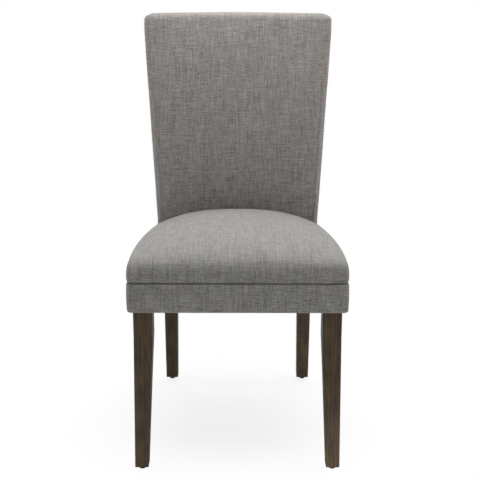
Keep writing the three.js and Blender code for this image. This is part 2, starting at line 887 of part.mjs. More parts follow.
/** A ring of the back at one height, drawn in from its outer face and rolled in by a share at the top. */
function backRing(inset, z, share) {
  const half = backHalf(z) - inset - rollIn(backTopRollSide - inset, share, backSideRollPower);
  const raised = Math.min(Math.max((z - rakeLow) / rakeBlendHeight, 0), 1);
  const edge = backLowEdgeRadius + (backEdgeRadius - backLowEdgeRadius) * raised;
  const front = postFront(z) - frontLayer + inset + rollIn(backTopRollFront - inset, share, 2);
  const rear = postRear(z) + rearLayer - inset - rollIn(backTopRollRear - inset, share, 2);
  const plan = roundedPlan({
    half,
    front,
    rear,
    frontRadius: edge - Math.min(inset, backLowEdgeRadius / 2),
    rearRadius: backRearRadius - Math.min(inset, backLowEdgeRadius / 2),
    edges: backEdges,
  });
  const flat = front + edge / 2;
  return plan.map(([x, y]) => {
    const crown = y < flat ? backCrown * raised * Math.max(1 - (x / half) ** 2, 0) : 0;
    return [x, y - crown, z - share * backTopCrown * (x / backHalf(z)) ** 2];
  });
}

/** The back's closed form, drawn in from its outer face. */
function backForm(inset, bottom) {
  const rollStart = chairHeight - backTopRollFront;
  const straight = [
    ...levels(rakeLow, rakeHigh, rakeLevelShares),
    ...levels(rakeHigh, rollStart, backLevelShares).slice(1),
  ];
  const rolled = rollShares.map((share) => {
    const z = rollStart + (backTopRollFront - inset) * share;
    return backRing(inset, z, share);
  });
  return loft([backRing(inset, bottom, 0), ...straight.map((z) => backRing(inset, z, 0)), ...rolled]);
}

/** Everything behind a leaning face that keeps one distance from the posts' rear faces. */
function behindPosts(offset) {
  const half = backHalf(chairHeight) + cutOverrun;
  const heights = [
    glideHeight,
    floorToBand,
    ...levels(rakeLow, rakeHigh, rakeLevelShares),
    postTop,
    chairHeight + cutOverrun,
  ];
  return loft(heights.map((z) => {
    const y = postRear(Math.max(z, floorToBand)) + offset;
    const far = seatDepth + chairHeight;
    return [[-half, y, z], [half, y, z], [half, far, z], [-half, far, z]];
  }));
}

/** The frame's room inside the back foam. */
function backRoom() {
  const heights = [floorToBand - jointGap, ...levels(rakeLow, rakeHigh, rakeLevelShares), postTop + jointGap];
  return loft(heights.map((z) => {
    const half = backRoomHalf(Math.min(z, postTop));
    const front = postFront(Math.max(z, floorToBand)) - jointGap - webbingThickness - jointGap;
    const far = seatDepth + chairHeight;
    return [[-half, front, z], [half, front, z], [half, far, z], [-half, far, z]];
  }));
}

/** Room for the side rails under the back's front panel. */
function underBackFront(half) {
  const top = boardTop + jointGap;
  return box([-half, glideHeight, glideHeight], [half, postFrontSeat + jointGap, top]);
}

/** The back's foam over the front, the sides and the top of the frame. */
function backFoam() {
  const form = backForm(fabricThickness + jointGap, railBottom);
  const railRoom = underBackFront(railOuter(seatDepth) + jointGap);
  return cut(form, backRoom(), behindPosts(jointGap), railRoom);
}

/** The inside back's fabric over the front, the sides and the top. */
function insideBackCover() {
  const inner = backForm(fabricThickness, floorToBand - cutOverrun);
  const half = backHalfSeat - fabricThickness;
  return cut(backForm(0, floorToBand), inner, behindPosts(jointGap), underBackFront(half));
}

/** The wadding over the rear of the back. */
function outsideBackPadding() {
  const form = backForm(fabricThickness + jointGap, railBottom);
  return form.intersect(behindPosts(jointGap + jointGap));
}

/** The outside back's fabric panel, turned forward at its edges. */
function outsideBackCover() {
  const panel = backForm(0, floorToBand).intersect(behindPosts(jointGap + jointGap));
  return cut(panel, backForm(fabricThickness, floorToBand + fabricThickness));
}

/** One webbing strap across the fronts of the posts. */
function webbingStrap(span) {
  const half = frameHalfRear - legChamfer * 2;
  return loft(levels(rakeHigh, postTop, span).map((z) => {
    const rear = postFront(z) - jointGap;
    const front = rear - webbingThickness;
    return [[-half, front, z], [half, front, z], [half, rear, z], [-half, rear, z]];
  }));
}

// Under the seat

/** The dust cloth, notched round the legs and posts. */
function dustCloth() {
  const wide = bandOuter(0);
  const inset = bandLayer - bandEdgeRoll;
  const plan = roundedPlan({
    half: wide - inset,
    front: inset,
    rear: postRear(floorToBand) - bandEdgeRoll,
    frontRadius: bandCornerRadius,
    rearRadius: bandCornerRadius,
    edges: bandEdges,
  });
  const top = floorToBand - jointGap;
  const sheet = prism(plan.map(([x, y]) => [x * (bandOuter(y) / wide), y]), top - dustClothThickness, top);
  const legRoom = box(
    [legInner - jointGap * 2, frameFront - cutOverrun, glideHeight],
    [frameHalfFront + cutOverrun, legRear + jointGap * 2, chairHeight],
  );
  const postRoom = box(
    [postInner - jointGap * 2, postFrontSeat - jointGap * 2, glideHeight],
    [frameHalfRear + cutOverrun, postFrontSeat + cutOverrun * 2, chairHeight],
  );
  return cut(sheet, legRoom, mirrored(legRoom), postRoom, mirrored(postRoom));
}

// Putting the chair together

const chair = new THREE.Group();
chair.name = "parsons_chair";

/** Adds a piece to the chair as a named mesh. */
function addPiece(name, solid, finish) {
  const { points, faces } = facesOf(solid);
  const geometry = new THREE.BufferGeometry();
  geometry.setAttribute("position", new THREE.Float32BufferAttribute(points.flat(), 3));
  geometry.setIndex(faces);
  geometry.computeVertexNormals();
  const mesh = new THREE.Mesh(geometry, new THREE.MeshStandardMaterial(finish));
  mesh.name = name;
  chair.add(mesh);
}

/** Adds a right piece and its mirrored left partner. */
function addPair(name, solid, finish) {
  addPiece(`${name}_right`, solid, finish);
  addPiece(`${name}_left`, mirrored(solid), finish);
}

/** Adds the wooden frame. */
function addFrame() {
  addPair("front_leg", frontLeg(), finishes.stainedWood);
  addPair("rear_post", rearPost(), finishes.stainedWood);
  addPiece("front_rail", frontRail(), finishes.rawWood);
  addPair("side_rail", sideRail(), finishes.rawWood);
  addPiece("back_rail", backRail(), finishes.rawWood);
  for (const [name, low, high] of backBoardShares) {
    addPiece(name, backBoard(boardLevels(low, high)), finishes.rawWood);
  }
  addPair("flare_strip", flareStrip(), finishes.rawWood);
  addPair("front_corner_block", cornerBlock(true), finishes.rawWood);
  addPair("rear_corner_block", cornerBlock(false), finishes.rawWood);
}

/** Adds the screws, bolts and glides. */
function addHardware() {
  for (const [place, isFront] of [["front", true], ["rear", false]]) {
    const [crossScrew, sideScrew] = blockScrews(isFront, 0);
    addPair(`${place}_block_cross_screw`, crossScrew, finishes.steel);
    addPair(`${place}_block_side_screw`, sideScrew, finishes.steel);
    addPair(`${place}_seat_screw`, seatScrew(isFront, 0), finishes.steel);
  }
  addPair("hanger_bolt", hangerBolt(0), finishes.steel);
  addPair("bolt_washer", boltWasher(), finishes.steel);
  addPair("bolt_nut", boltNut(), finishes.steel);
  addPair("front_glide", glide(legFootCentre()), finishes.nylon);
  addPair("rear_glide", glide(postFootCentre()), finishes.nylon);
}

/** Adds the seat, the band and the back's upholstery. */
function addUpholstery() {
  addPiece("rail_padding", railPadding(), finishes.wadding);
  addPiece("rail_cover", railCover(), finishes.greyFabric);
  addPiece("seat_board", seatBoard(), finishes.plywood);
  addPiece("seat_foam", seatFoam(), finishes.paleFoam);
  addPiece("seat_cover", seatCover(), finishes.greyFabric);
  for (const [name, low, high] of webbingShares) {
    addPiece(name, webbingStrap([low, high]), finishes.webbing);
  }
  addPiece("back_foam", backFoam(), finishes.paleFoam);
  addPiece("inside_back_cover", insideBackCover(), finishes.greyFabric);
  addPiece("outside_back_padding", outsideBackPadding(), finishes.wadding);
  addPiece("outside_back_cover", outsideBackCover(), finishes.greyFabric);
  addPiece("dust_cloth", dustCloth(), finishes.dustCloth);
}

/** Moves every mesh so that the chair stands on the origin, centred in plan. */
function centreChair() {
  const bounds = new THREE.Box3().setFromObject(chair);
  const middle = bounds.getCenter(new THREE.Vector3());
  for (const mesh of chair.children) {
    mesh.geometry.translate(-middle.x, -middle.y, -bounds.min.z);
  }
}

addFrame();
addHardware();
addUpholstery();
centreChair();

export default chair;
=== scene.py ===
"""An upholstered parsons chair, dressed for the studio over its CAD frame.

Sizes are in millimetres from the chair's middle, the front face of the fabric band and the floor, as in the
CAD source. A piece's points become metres in the row frame when its mesh is made.
"""

import json
import logging
import math
from dataclasses import dataclass, field
from enum import Enum
from typing import ClassVar

import bmesh
import bpy
import numpy as np
from bpy.types import Material, Object
from mathutils import Matrix, Vector
from mathutils.geometry import delaunay_2d_cdt


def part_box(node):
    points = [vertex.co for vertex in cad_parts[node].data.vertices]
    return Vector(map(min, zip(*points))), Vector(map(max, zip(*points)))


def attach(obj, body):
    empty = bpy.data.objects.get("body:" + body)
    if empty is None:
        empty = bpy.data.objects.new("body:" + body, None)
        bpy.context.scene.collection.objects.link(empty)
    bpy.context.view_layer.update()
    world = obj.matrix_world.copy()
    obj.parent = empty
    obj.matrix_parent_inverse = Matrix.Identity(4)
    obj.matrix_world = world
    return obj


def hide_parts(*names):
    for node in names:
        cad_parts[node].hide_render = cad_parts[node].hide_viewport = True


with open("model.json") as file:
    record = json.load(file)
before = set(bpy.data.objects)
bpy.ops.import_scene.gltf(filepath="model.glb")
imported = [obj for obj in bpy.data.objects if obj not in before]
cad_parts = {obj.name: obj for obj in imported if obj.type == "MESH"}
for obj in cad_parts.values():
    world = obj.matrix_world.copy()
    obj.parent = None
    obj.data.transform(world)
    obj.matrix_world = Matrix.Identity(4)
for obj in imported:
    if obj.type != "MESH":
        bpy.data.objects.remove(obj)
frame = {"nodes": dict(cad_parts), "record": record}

log = logging.getLogger("parsons_chair")

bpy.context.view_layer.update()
BAND_FRONT_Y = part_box("rail_cover")[0].y
METRES = 0.001
BODY = "root"
WEAVE_MAP = "weave"
PAINTED_SHADE_FACING_MAP = "level"
QUARTER = math.pi / 2
CAMERA_SENSOR = 36.0
WELD = 3e-6
WHITE = (1.0, 1.0, 1.0, 1.0)
RIPPLES = ((1.00, 0.31, 1.0, 1.0), (0.43, -1.13, 2.1, 1.0), (-1.71, 0.83, 3.7, 0.7), (2.30, 1.90, 5.3, 0.5))

Array = np.ndarray
Numbers = Array | float


class Slot(Enum):
    """The record's material slots that pieces take their finish from."""

    FABRIC = "grey_fabric"
    DUST_CLOTH = "dust_cloth"
    STEEL = "steel"


def in_row_frame(points: Array) -> Array:
    """Turns points in millimetres, with x, y and z on their last axis, into metres in the row frame."""
    return points * METRES + np.array([0.0, BAND_FRONT_Y, 0.0])


def smooth_step(value: Numbers, low: float, high: float) -> Array:
    """Rises smoothly from 0 at low to 1 at high."""
    share = np.clip((np.asarray(value, float) - low) / (high - low), 0.0, 1.0)
    return share * share * (3.0 - 2.0 * share)


def roll_in(size: Numbers, share: Numbers, power: float) -> Array:
    """How far a roll of a size has come in at a share of its height, as an ellipse does where the power is 2."""
    reached = np.clip(share, 0.0, 1.0) ** power
    return size * (1.0 - (1.0 - reached) ** (1.0 / power))


def ripples(across: Array, along: Array, wavelength: float, phase: float) -> Array:
    """Gentle hand-made unevenness from a few crossed waves, between about -1 and 1.

    Args:
        across: The places along one axis.
        along: The places along the other.
        wavelength: The longest wave, in the places' unit.
        phase: A number that shifts the pattern.

    Returns:
        The unevenness at each place.
    """
    a, b = across * (2 * math.pi / wavelength), along * (2 * math.pi / wavelength)
    waves = sum(size * np.sin(p * a + q * b + turn * phase) for p, q, turn, size in RIPPLES)
    return waves / sum(size for *_, size in RIPPLES)


# Shared lines of the chair


@dataclass(frozen=True)
class ChairLines:
    """The lines that several pieces share, with the CAD source's sizes."""

    height: float = 1003.0
    seat_depth: float = 428.5
    band_bottom: float = 372.4
    band_top: float = 435.8
    half_front: float = 224.5
    half_rear: float = 196.5
    frame_front: float = 12.1
    leg_size: float = 41.5
    post_front_seat: float = 459.3
    post_depth_seat: float = 44.0
    post_depth_top: float = 36.0
    post_width: float = 36.0
    post_top: float = 985.4
    rake_slope: float = 0.2
    rake_low: float = 451.9
    rake_high: float = 561.9
    front_layer: float = 30.8
    rear_layer: float = 6.1
    back_half_seat: float = 207.2
    flare_spread: float = 37.2
    flare_start: float = 485.8
    top_narrowing: float = 4.0
    narrowing_height: float = 60.0

    @property
    def rail_slope(self) -> float:
        """How fast the side rails close in toward the rear."""
        return (self.half_front - self.half_rear) / (self.post_front_seat - self.frame_front)

    def rail_outer(self, y: Numbers) -> Array:
        """Half the width over the side rails at one depth."""
        return self.half_front - self.rail_slope * (y - self.frame_front)

    def band_outer(self, y: Numbers) -> Array:
        """Half the width over the fabric band at one depth."""
        return self.rail_outer(y) + self.frame_front

    def lean(self, z: Numbers) -> Array:
        """How far the back has leaned rearward at one height."""
        into, past = np.clip(z, self.rake_low, self.rake_high) - self.rake_low, np.maximum(z, self.rake_high)
        return self.rake_slope * (into**2 / (2 * (self.rake_high - self.rake_low)) + past - self.rake_high)

    def post_front(self, z: Numbers) -> Array:
        """The y of a rear post's front face at a height over the seat frame's underside."""
        return self.post_front_seat + self.lean(z)

    def post_depth(self, z: Numbers) -> Array:
        """The depth of a rear post at one height."""
        above = np.maximum(np.asarray(z, float) - self.rake_high, 0.0) / (self.post_top - self.rake_high)
        return self.post_depth_seat - (self.post_depth_seat - self.post_depth_top) * above

    def post_rear(self, z: Numbers) -> Array:
        """The y of a rear post's rear face at one height."""
        return self.post_front(z) + self.post_depth(z)

    def back_half(self, z: Numbers) -> Array:
        """Half the width over the back's fabric at one height.

        Args:
            z: The height.

        Returns:
            The distance from the middle to the side.
        """
        flare = self.flare_spread / (self.height - self.flare_start) * np.maximum(z - self.flare_start, 0.0)
        above = np.maximum(z - self.height + self.narrowing_height, 0.0) / self.narrowing_height
        return self.back_half_seat + flare - self.top_narrowing * above**2


LINES = ChairLines()


class Side(Enum):
    """The sides of a plan, counter-clockwise, with the direction that each faces in quarter turns."""

    FRONT = -1
    RIGHT = 0
    REAR = 1
    LEFT = 2


@dataclass(frozen=True)
class RoundedPlan:
    """A four-sided plan with rounded corners. Each side runs from mid-corner to mid-corner, counter-clockwise."""

    half: float
    front: float
    rear: float
    front_radius: float
    rear_radius: float
    arc_share: float = 0.08

    def side(self, which: Side, share: Array) -> Array:
        """Points along one side.

        Args:
            which: The side.
            share: How far along the side each point is, from 0 to 1.

        Returns:
            An array of x and y.
        """
        rf, rr = self.front_radius, self.rear_radius
        corners = [
            (-self.half + rf, self.front + rf, rf),
            (self.half - rf, self.front + rf, rf),
            (self.half - rr, self.rear - rr, rr),
            (-self.half + rr, self.rear - rr, rr),
        ]
        start = corners[which.value + 1]
        end = corners[(which.value + 2) % 4]
        facing = which.value * QUARTER
        turn = np.where(
            share < self.arc_share,
            (share / self.arc_share - 1.0) * QUARTER / 2,
            np.where(share > 1 - self.arc_share, (share - 1 + self.arc_share) / self.arc_share * QUARTER / 2, 0.0),
        )
        blend = np.clip((share - self.arc_share) / (1 - 2 * self.arc_share), 0.0, 1.0)
        centre = [start[axis] + (end[axis] - start[axis]) * blend for axis in (0, 1)]
        radius = start[2] + (end[2] - start[2]) * blend
        return np.stack(
            [centre[0] + radius * np.cos(facing + turn), centre[1] + radius * np.sin(facing + turn)], axis=-1
        )


def side_shares(middle: int, arc: int, arc_share: float = 0.08) -> Array:
    """Shares along a plan's side, with its own steps for the corner arcs.

    Args:
        middle: The steps between the corners.
        arc: The steps of each corner's half.
        arc_share: The share of the side that each corner's half takes.

    Returns:
        The shares, from 0 to 1.
    """
    first = np.linspace(0.0, arc_share, arc, endpoint=False)
    straight = np.linspace(arc_share, 1 - arc_share, middle, endpoint=False)
    return np.concatenate([first, straight, np.linspace(1 - arc_share, 1.0, arc + 1)])


def lengths_along(points: Array) -> Array:
    """The distance run along a line of points, from 0 at its start."""
    steps = np.linalg.norm(np.diff(points, axis=0), axis=1)
    return np.concatenate([[0.0], np.cumsum(steps)])


def coons(front: Array, rear: Array, left: Array, right: Array) -> Array:
    """Fills four edges with an even net of points.

    Args:
        front: The edge along row 0, from left to right.
        rear: The edge along the last row, from left to right.
        left: The edge along column 0, from front to rear.
        right: The edge along the last column, from front to rear.

    Returns:
        An array of rows by columns by coordinates.
    """

    def shares(one: Array, two: Array) -> Array:
        """The mean share of the way along two opposite edges."""
        both = [lengths_along(line) for line in (one, two)]
        return sum(line / line[-1] for line in both) / 2

    u = shares(front, rear)[None, :, None]
    v = shares(left, right)[:, None, None]
    ruled = (1 - v) * front[None] + v * rear[None] + (1 - u) * left[:, None] + u * right[:, None]
    corners = (1 - v) * ((1 - u) * front[0] + u * front[-1]) + v * ((1 - u) * rear[0] + u * rear[-1])
    return ruled - corners


def around(ring: dict[Side, Array]) -> Array:
    """Joins the four sides of a ring, whose first and last points are the same."""
    return np.concatenate([*(ring[side][:-1] for side in Side), ring[Side.FRONT][:1]])


def filled(ring: dict[Side, Array]) -> Array:
    """Fills the four sides of a ring with a net."""
    front, right, rear, left = (ring[side] for side in Side)
    return coons(front, rear[::-1], left[::-1], right)


# Meshes


def linked(name: str, data: bpy.types.ID) -> Object:
    """Makes an object and links it to the scene.

    Args:
        name: The object's name.
        data: Its mesh, light or camera.

    Returns:
        The new object.
    """
    made = bpy.data.objects.new(name, data)
    bpy.context.scene.collection.objects.link(made)
    return made


@dataclass
class Net:
    """A grid of points, in millimetres, with the weave's own coordinates for them."""

    points: Array
    weave: Array
    flipped: bool = False

    @property
    def count(self) -> int:
        """How many points the net has."""
        return self.points.shape[0] * self.points.shape[1]

    def quads(self, start: int = 0) -> Array:
        """The net's faces as four point numbers each, counted from a start.

        Args:
            start: The number of the net's first point.

        Returns:
            An array of faces by four numbers.
        """
        rows, columns = self.points.shape[:2]
        number = start + np.arange(rows * columns).reshape(rows, columns)
        a, b, c, d = number[:-1, :-1], number[:-1, 1:], number[1:, 1:], number[1:, :-1]
        order = (a, d, c, b) if self.flipped else (a, b, c, d)
        return np.stack(order, axis=-1).reshape(-1, 4)


@dataclass
class Skin:
    """A surface gathered from nets, which becomes one closed piece."""

    nets: list[Net] = field(default_factory=list)

    def add(self, points: Array, weave: Array | None = None, flipped: bool = False) -> None:
        """Adds a net of points in millimetres, with the cloth's own coordinates for them or else x and y."""
        self.nets.append(Net(points, points[..., :2] if weave is None else weave, flipped))

    def to_object(self, name: str) -> Object:
        """Makes the piece's object, welded, with its faces outward and its weave as a UV map.

        Args:
            name: The piece's name.

        Returns:
            The new object, at the origin.
        """
        points, weave, quads, start = [], [], [], 0
        for net in self.nets:
            points.append(in_row_frame(net.points.reshape(-1, 3)))
            weave.append(net.weave.reshape(-1, 2) * METRES)
            quads.append(net.quads(start))
            start += len(points[-1])
        coordinates, cloth = np.concatenate(points), np.concatenate(weave)
        mesh = bpy.data.meshes.new(name)
        mesh.from_pydata(coordinates.tolist(), [], np.concatenate(quads).tolist())
        corners = np.zeros(len(mesh.loops), np.int32)
        mesh.loops.foreach_get("vertex_index", corners)
        layer = mesh.uv_layers.new(name=WEAVE_MAP)
        layer.data.foreach_set("uv", cloth[corners].astype(np.float32).ravel())
        shaped = bmesh.new()
        shaped.from_mesh(mesh)
        bmesh.ops.remove_doubles(shaped, verts=shaped.verts, dist=WELD)
        loose = [vertex for vertex in shaped.verts if not vertex.link_faces]
        bmesh.ops.delete(shaped, geom=loose, context="VERTS")
        bmesh.ops.recalc_face_normals(shaped, faces=shaped.faces)
        shaped.to_mesh(mesh)
        open_edges = sum(1 for edge in shaped.edges if len(edge.link_faces) != 2)
        shaped.free()
        mesh.shade_smooth()
        # painted shade: how far each point faces up, which the cloth reads to paint stronger slub relief shade on
        # upright faces than on level ones
        level = mesh.attributes.new(PAINTED_SHADE_FACING_MAP, "FLOAT", "POINT")
        level.data.foreach_set("value", [max(normal.vector.z, 0.0) for normal in mesh.vertex_normals])
        if open_edges:
            log.warning("%s has %d open edges", name, open_edges)
        return linked(name, mesh)


def settle(piece: Object, material: Material, slot: Slot, *replaced: str) -> Object:
    """Dresses a piece, puts it on the chair's body, hides the CAD nodes that it stands for and reports it.

    Args:
        piece: The finished object.
        material: Its finish.
        slot: The record's slot for that finish; not used.
        replaced: The CAD nodes that it stands for.

    Returns:
        The same object.
    """
    piece.data.materials.clear()
    piece.data.materials.append(material)
    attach(piece, BODY)
    if replaced:
        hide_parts(*replaced)
    piece.data.calc_loop_triangles()
    log.info("%s: %d triangles", piece.name, len(piece.data.loop_triangles))
    return piece


@dataclass
class FabricSwell:
    """Lets a fabric skin swell under light pressure while its held edges stay, as Blender's cloth does."""

    cap: float
    start_inset: float = 0.0
    pressure: float = 4.0
    frames: int = 20
    stiffness: float = 70.0
    bending: float = 1.2
    mass: float = 0.3
    quality: int = 6
    even_share: float = 98.0

    def run(self, nets: list[Net], held: list[Array]) -> list[Array]:
        """Simulates the skin and returns how far each net's points moved outward.

        Args:
            nets: The coarse nets, in millimetres, which share their edge points.
            held: For each net, how firmly each point is held, from 0 to 1.

        Returns:
            One array of movements in millimetres for each net.
        """
        flat = np.concatenate([net.points.reshape(-1, 3) for net in nets])
        start, faces = 0, []
        for net in nets:
            faces.append(net.quads(start))
            start += net.count
        keys, first, welded = np.unique(np.round(flat, 2), axis=0, return_index=True, return_inverse=True)
        welded = welded.ravel()
        mesh = bpy.data.meshes.new("swelling")
        quads = [list(dict.fromkeys(quad)) for quad in welded[np.concatenate(faces)].tolist()]
        mesh.from_pydata((flat[first] * METRES).tolist(), [], [quad for quad in quads if len(quad) > 2])
        skin = linked("swelling", mesh)
        grip = np.zeros(len(keys))
        np.maximum.at(grip, welded, np.concatenate([weights.ravel() for weights in held]))
        group = skin.vertex_groups.new(name="held")
        for index, weight in enumerate(grip):
            if weight > 0:
                group.add([index], float(weight), "REPLACE")
        cloth = skin.modifiers.new("fabric", "CLOTH")
        for setting, value in {
            "quality": self.quality, "mass": self.mass, "tension_stiffness": self.stiffness,
            "compression_stiffness": self.stiffness, "shear_stiffness": self.stiffness / 2,
            "bending_stiffness": self.bending, "use_pressure": True, "uniform_pressure_force": self.pressure,
            "vertex_group_mass": group.name, "pin_stiffness": 1.0,
        }.items():
            setattr(cloth.settings, setting, value)
        cloth.settings.effector_weights.gravity = 0.0
        cloth.collision_settings.use_collision = False
        scene = bpy.context.scene
        for step in range(1, self.frames + 1):
            scene.frame_set(step)
        evaluated = skin.evaluated_get(bpy.context.evaluated_depsgraph_get())
        moved = np.zeros(len(evaluated.data.vertices) * 3, np.float32)
        evaluated.data.vertices.foreach_get("co", moved)
        shift = moved.reshape(-1, 3) / METRES - flat[first]
        outward = np.array([tuple(entry.vector) for entry in mesh.vertex_normals])
        scene.frame_set(1)
        bpy.data.objects.remove(skin)
        bpy.data.meshes.remove(mesh)
        swell = np.sum(shift * outward, axis=1)
        log.info("fabric swelled by %.1f to %.1f mm, mean %.1f mm", swell.min(), swell.max(), swell.mean())
        swell *= self.cap / max(float(np.percentile(swell, self.even_share)), self.cap)
        swell = np.clip(swell, -self.cap / 5, self.cap)
        shift = outward * (swell - self.start_inset * (1 - grip))[:, None]
        spread, results = shift[welded], []
        for net in nets:
            results.append(spread[: net.count].reshape(net.points.shape))
            spread = spread[net.count :]
        return results


def resampled(values: Array, rows: Array, columns: Array, to_rows: Array, to_columns: Array) -> Array:
    """Reads a coarse net's values at a finer net's places.

    Args:
        values: Rows by columns by coordinates.
        rows: The coarse rows' places, rising.
        columns: The coarse columns' places, rising.
        to_rows: The places of the finer rows.
        to_columns: The places of the finer columns.

    Returns:
        The values on the finer net.
    """

    def along(data: Array, places: Array, wanted: Array) -> Array:
        """Reads values at new places along their first axis.

        Args:
            data: The values.
            places: The places that they belong to, rising.
            wanted: The new places.

        Returns:
            The values there.
        """
        index = np.clip(np.searchsorted(places, wanted, side="right") - 1, 0, len(places) - 2)
        share = np.clip((wanted - places[index]) / (places[index + 1] - places[index]), 0.0, 1.0)
        shape = (-1,) + (1,) * (data.ndim - 1)
        return data[index] * (1 - share.reshape(shape)) + data[index + 1] * share.reshape(shape)

    return np.swapaxes(along(np.swapaxes(along(values, rows, to_rows), 0, 1), columns, to_columns), 0, 1)


# Node building


class Signal:
    """One node socket that arithmetic can be written on."""

    def __init__(self, board: "NodeBoard", socket: bpy.types.NodeSocket) -> None:
        """Wraps a socket of a board's tree."""
        self.board = board
        self.socket = socket

    def of(self, output: str) -> "Signal":
        """Another output of the same node."""
        return Signal(self.board, self.board.find(self.socket.node.outputs, output))

    def _math(self, operation: str, *operands: "Signal | float") -> "Signal":
        """Adds a Math node whose sockets take the operands in order."""
        values = {index: operand for index, operand in enumerate(operands)}
        return self.board.node("ShaderNodeMath", values, {"operation": operation})

    def __add__(self, other: "Signal | float") -> "Signal":
        """Sum."""
        return self._math("ADD", self, other)

    __radd__ = __add__

    def __sub__(self, other: "Signal | float") -> "Signal":
        """Difference."""
        return self._math("SUBTRACT", self, other)

    def __rsub__(self, other: "Signal | float") -> "Signal":
        """Difference from a number."""
        return self._math("SUBTRACT", other, self)

    def __mul__(self, other: "Signal | float") -> "Signal":
        """Product."""
        return self._math("MULTIPLY", self, other)

    __rmul__ = __mul__

    def __truediv__(self, other: "Signal | float") -> "Signal":
        """Quotient."""
        return self._math("DIVIDE", self, other)

    def __pow__(self, other: "Signal | float") -> "Signal":
        """Power."""
        return self._math("POWER", self, other)

    def apply(self, operation: str, *others: "Signal | float") -> "Signal":
        """Any other operation of the Math node."""
        return self._math(operation, self, *others)

    def ramp(self, low: float, high: float, to_low: float = 0.0, to_high: float = 1.0) -> "Signal":
        """Maps a range smoothly onto another, clamped."""
        values = {"Value": self, 1: low, 2: high, 3: to_low, 4: to_high}
        return self.board.node("ShaderNodeMapRange", values, {"interpolation_type": "SMOOTHSTEP"})


class NodeBoard:
    """Adds nodes to one tree."""

    def __init__(self, tree: bpy.types.NodeTree) -> None:
        """Takes the tree that nodes go into."""
        self.tree = tree

    @staticmethod
    def find(sockets: bpy.types.bpy_prop_collection, key: str | int) -> bpy.types.NodeSocket:
        """Finds a socket by number, identifier or name.

        Args:
            sockets: A node's inputs or outputs.
            key: The number, identifier or name.

        Returns:
            The first socket that fits.
        """
        if isinstance(key, int):
            return sockets[key]
        for socket in sockets:
            if socket.identifier == key:
                return socket
        return next(socket for socket in sockets if socket.name == key and socket.enabled)

    def node(self, kind: str, inputs: dict | None = None, settings: dict | None = None,
             output: str | int = 0) -> Signal:
        """Adds one node.

        Args:
            kind: The node's type.
            inputs: A value or a Signal for each socket that is set.
            settings: The node's own settings, such as an operation.
            output: The output that is returned.

        Returns:
            The chosen output.
        """
        made = self.tree.nodes.new(kind)
        for name, value in (settings or {}).items():
            setattr(made, name, value)
        for key, value in (inputs or {}).items():
            socket = self.find(made.inputs, key)
            if isinstance(value, Signal):
                self.tree.links.new(value.socket, socket)
            else:
                socket.default_value = value
        return Signal(self, self.find(made.outputs, output)) if made.outputs else Signal(self, None)


class MaterialBoard(NodeBoard):
    """A new procedural material."""

    def __init__(self, name: str) -> None:
        """Starts an empty material.

        Args:
            name: The material's name.
        """
        self.material = bpy.data.materials.new(name)
        self.material.use_nodes = True
        super().__init__(self.material.node_tree)
        self.tree.nodes.clear()

    def place(self) -> Signal:
        """The point on the object, in millimetres."""
        return self.in_millimetres(self.node("ShaderNodeTexCoord", output="Object"))

    def cloth(self) -> Signal:
        """The point on the cloth, in millimetres."""
        return self.in_millimetres(self.node("ShaderNodeUVMap", settings={"uv_map": WEAVE_MAP}))

    def in_millimetres(self, spot: Signal) -> Signal:
        """Scales a point from metres to millimetres."""
        return self.node("ShaderNodeVectorMath", {0: spot, "Scale": 1 / METRES}, {"operation": "SCALE"})

    def axes(self, spot: Signal) -> tuple[Signal, Signal, Signal]:
        """A point's x, y and z."""
        split = self.node("ShaderNodeSeparateXYZ", {"Vector": spot})
        return split, split.of("Y"), split.of("Z")

    def stretched_noise(self, x: Signal, y: Signal, z: Signal | float, sizes: tuple[float, float, float],
                        detail: float = 2.0, roughness: float = 0.5) -> Signal:
        """Noise whose grains have their own size along each axis.

        Args:
            x: The first coordinate, in millimetres.
            y: The second coordinate.
            z: The third coordinate.
            sizes: The grain's size along each.
            detail: The noise's octaves.
            roughness: How strong the finer octaves are.

        Returns:
            A value about 0.5.
        """
        scaled = [axis * (1 / size) for axis, size in zip((x, y, z), sizes)]
        spot = self.node("ShaderNodeCombineXYZ", dict(enumerate(scaled)))
        inputs = {"Vector": spot, "Scale": 1.0, "Detail": detail, "Roughness": roughness}
        return self.node("ShaderNodeTexNoise", inputs)

    def blend(self, factor: Signal | float, first: Signal | tuple, second: Signal | tuple,
              how: str = "MIX") -> Signal:
        """Mixes two colours.

        Args:
            factor: The second colour's share.
            first: The first colour.
            second: The second colour.
            how: The way they are mixed.

        Returns:
            The mixed colour.
        """
        colours = [value if isinstance(value, Signal) else (*value, 1.0) for value in (first, second)]
        inputs = {"Factor_Float": factor, "A_Color": colours[0], "B_Color": colours[1]}
        return self.node("ShaderNodeMix", inputs, {"data_type": "RGBA", "blend_type": how}, "Result_Color")

    def finish(self, inputs: dict, height: Signal | None = None, bump: float = 0.5,
               depth: float = 0.2) -> Material:
        """Closes the material with one shader.

        Args:
            inputs: The shader's sockets.
            height: The surface's relief, from 0 to 1.
            bump: How strongly it shades.
            depth: How deep it is, in millimetres.

        Returns:
            The material.
        """
        if height is not None:
            relief = {"Height": height, "Strength": bump, "Distance": depth * METRES}
            inputs["Normal"] = self.node("ShaderNodeBump", relief, output="Normal")
        shader = self.node("ShaderNodeBsdfPrincipled", inputs)
        self.node("ShaderNodeOutputMaterial", {"Surface": shader})
        return self.material


# Finishes


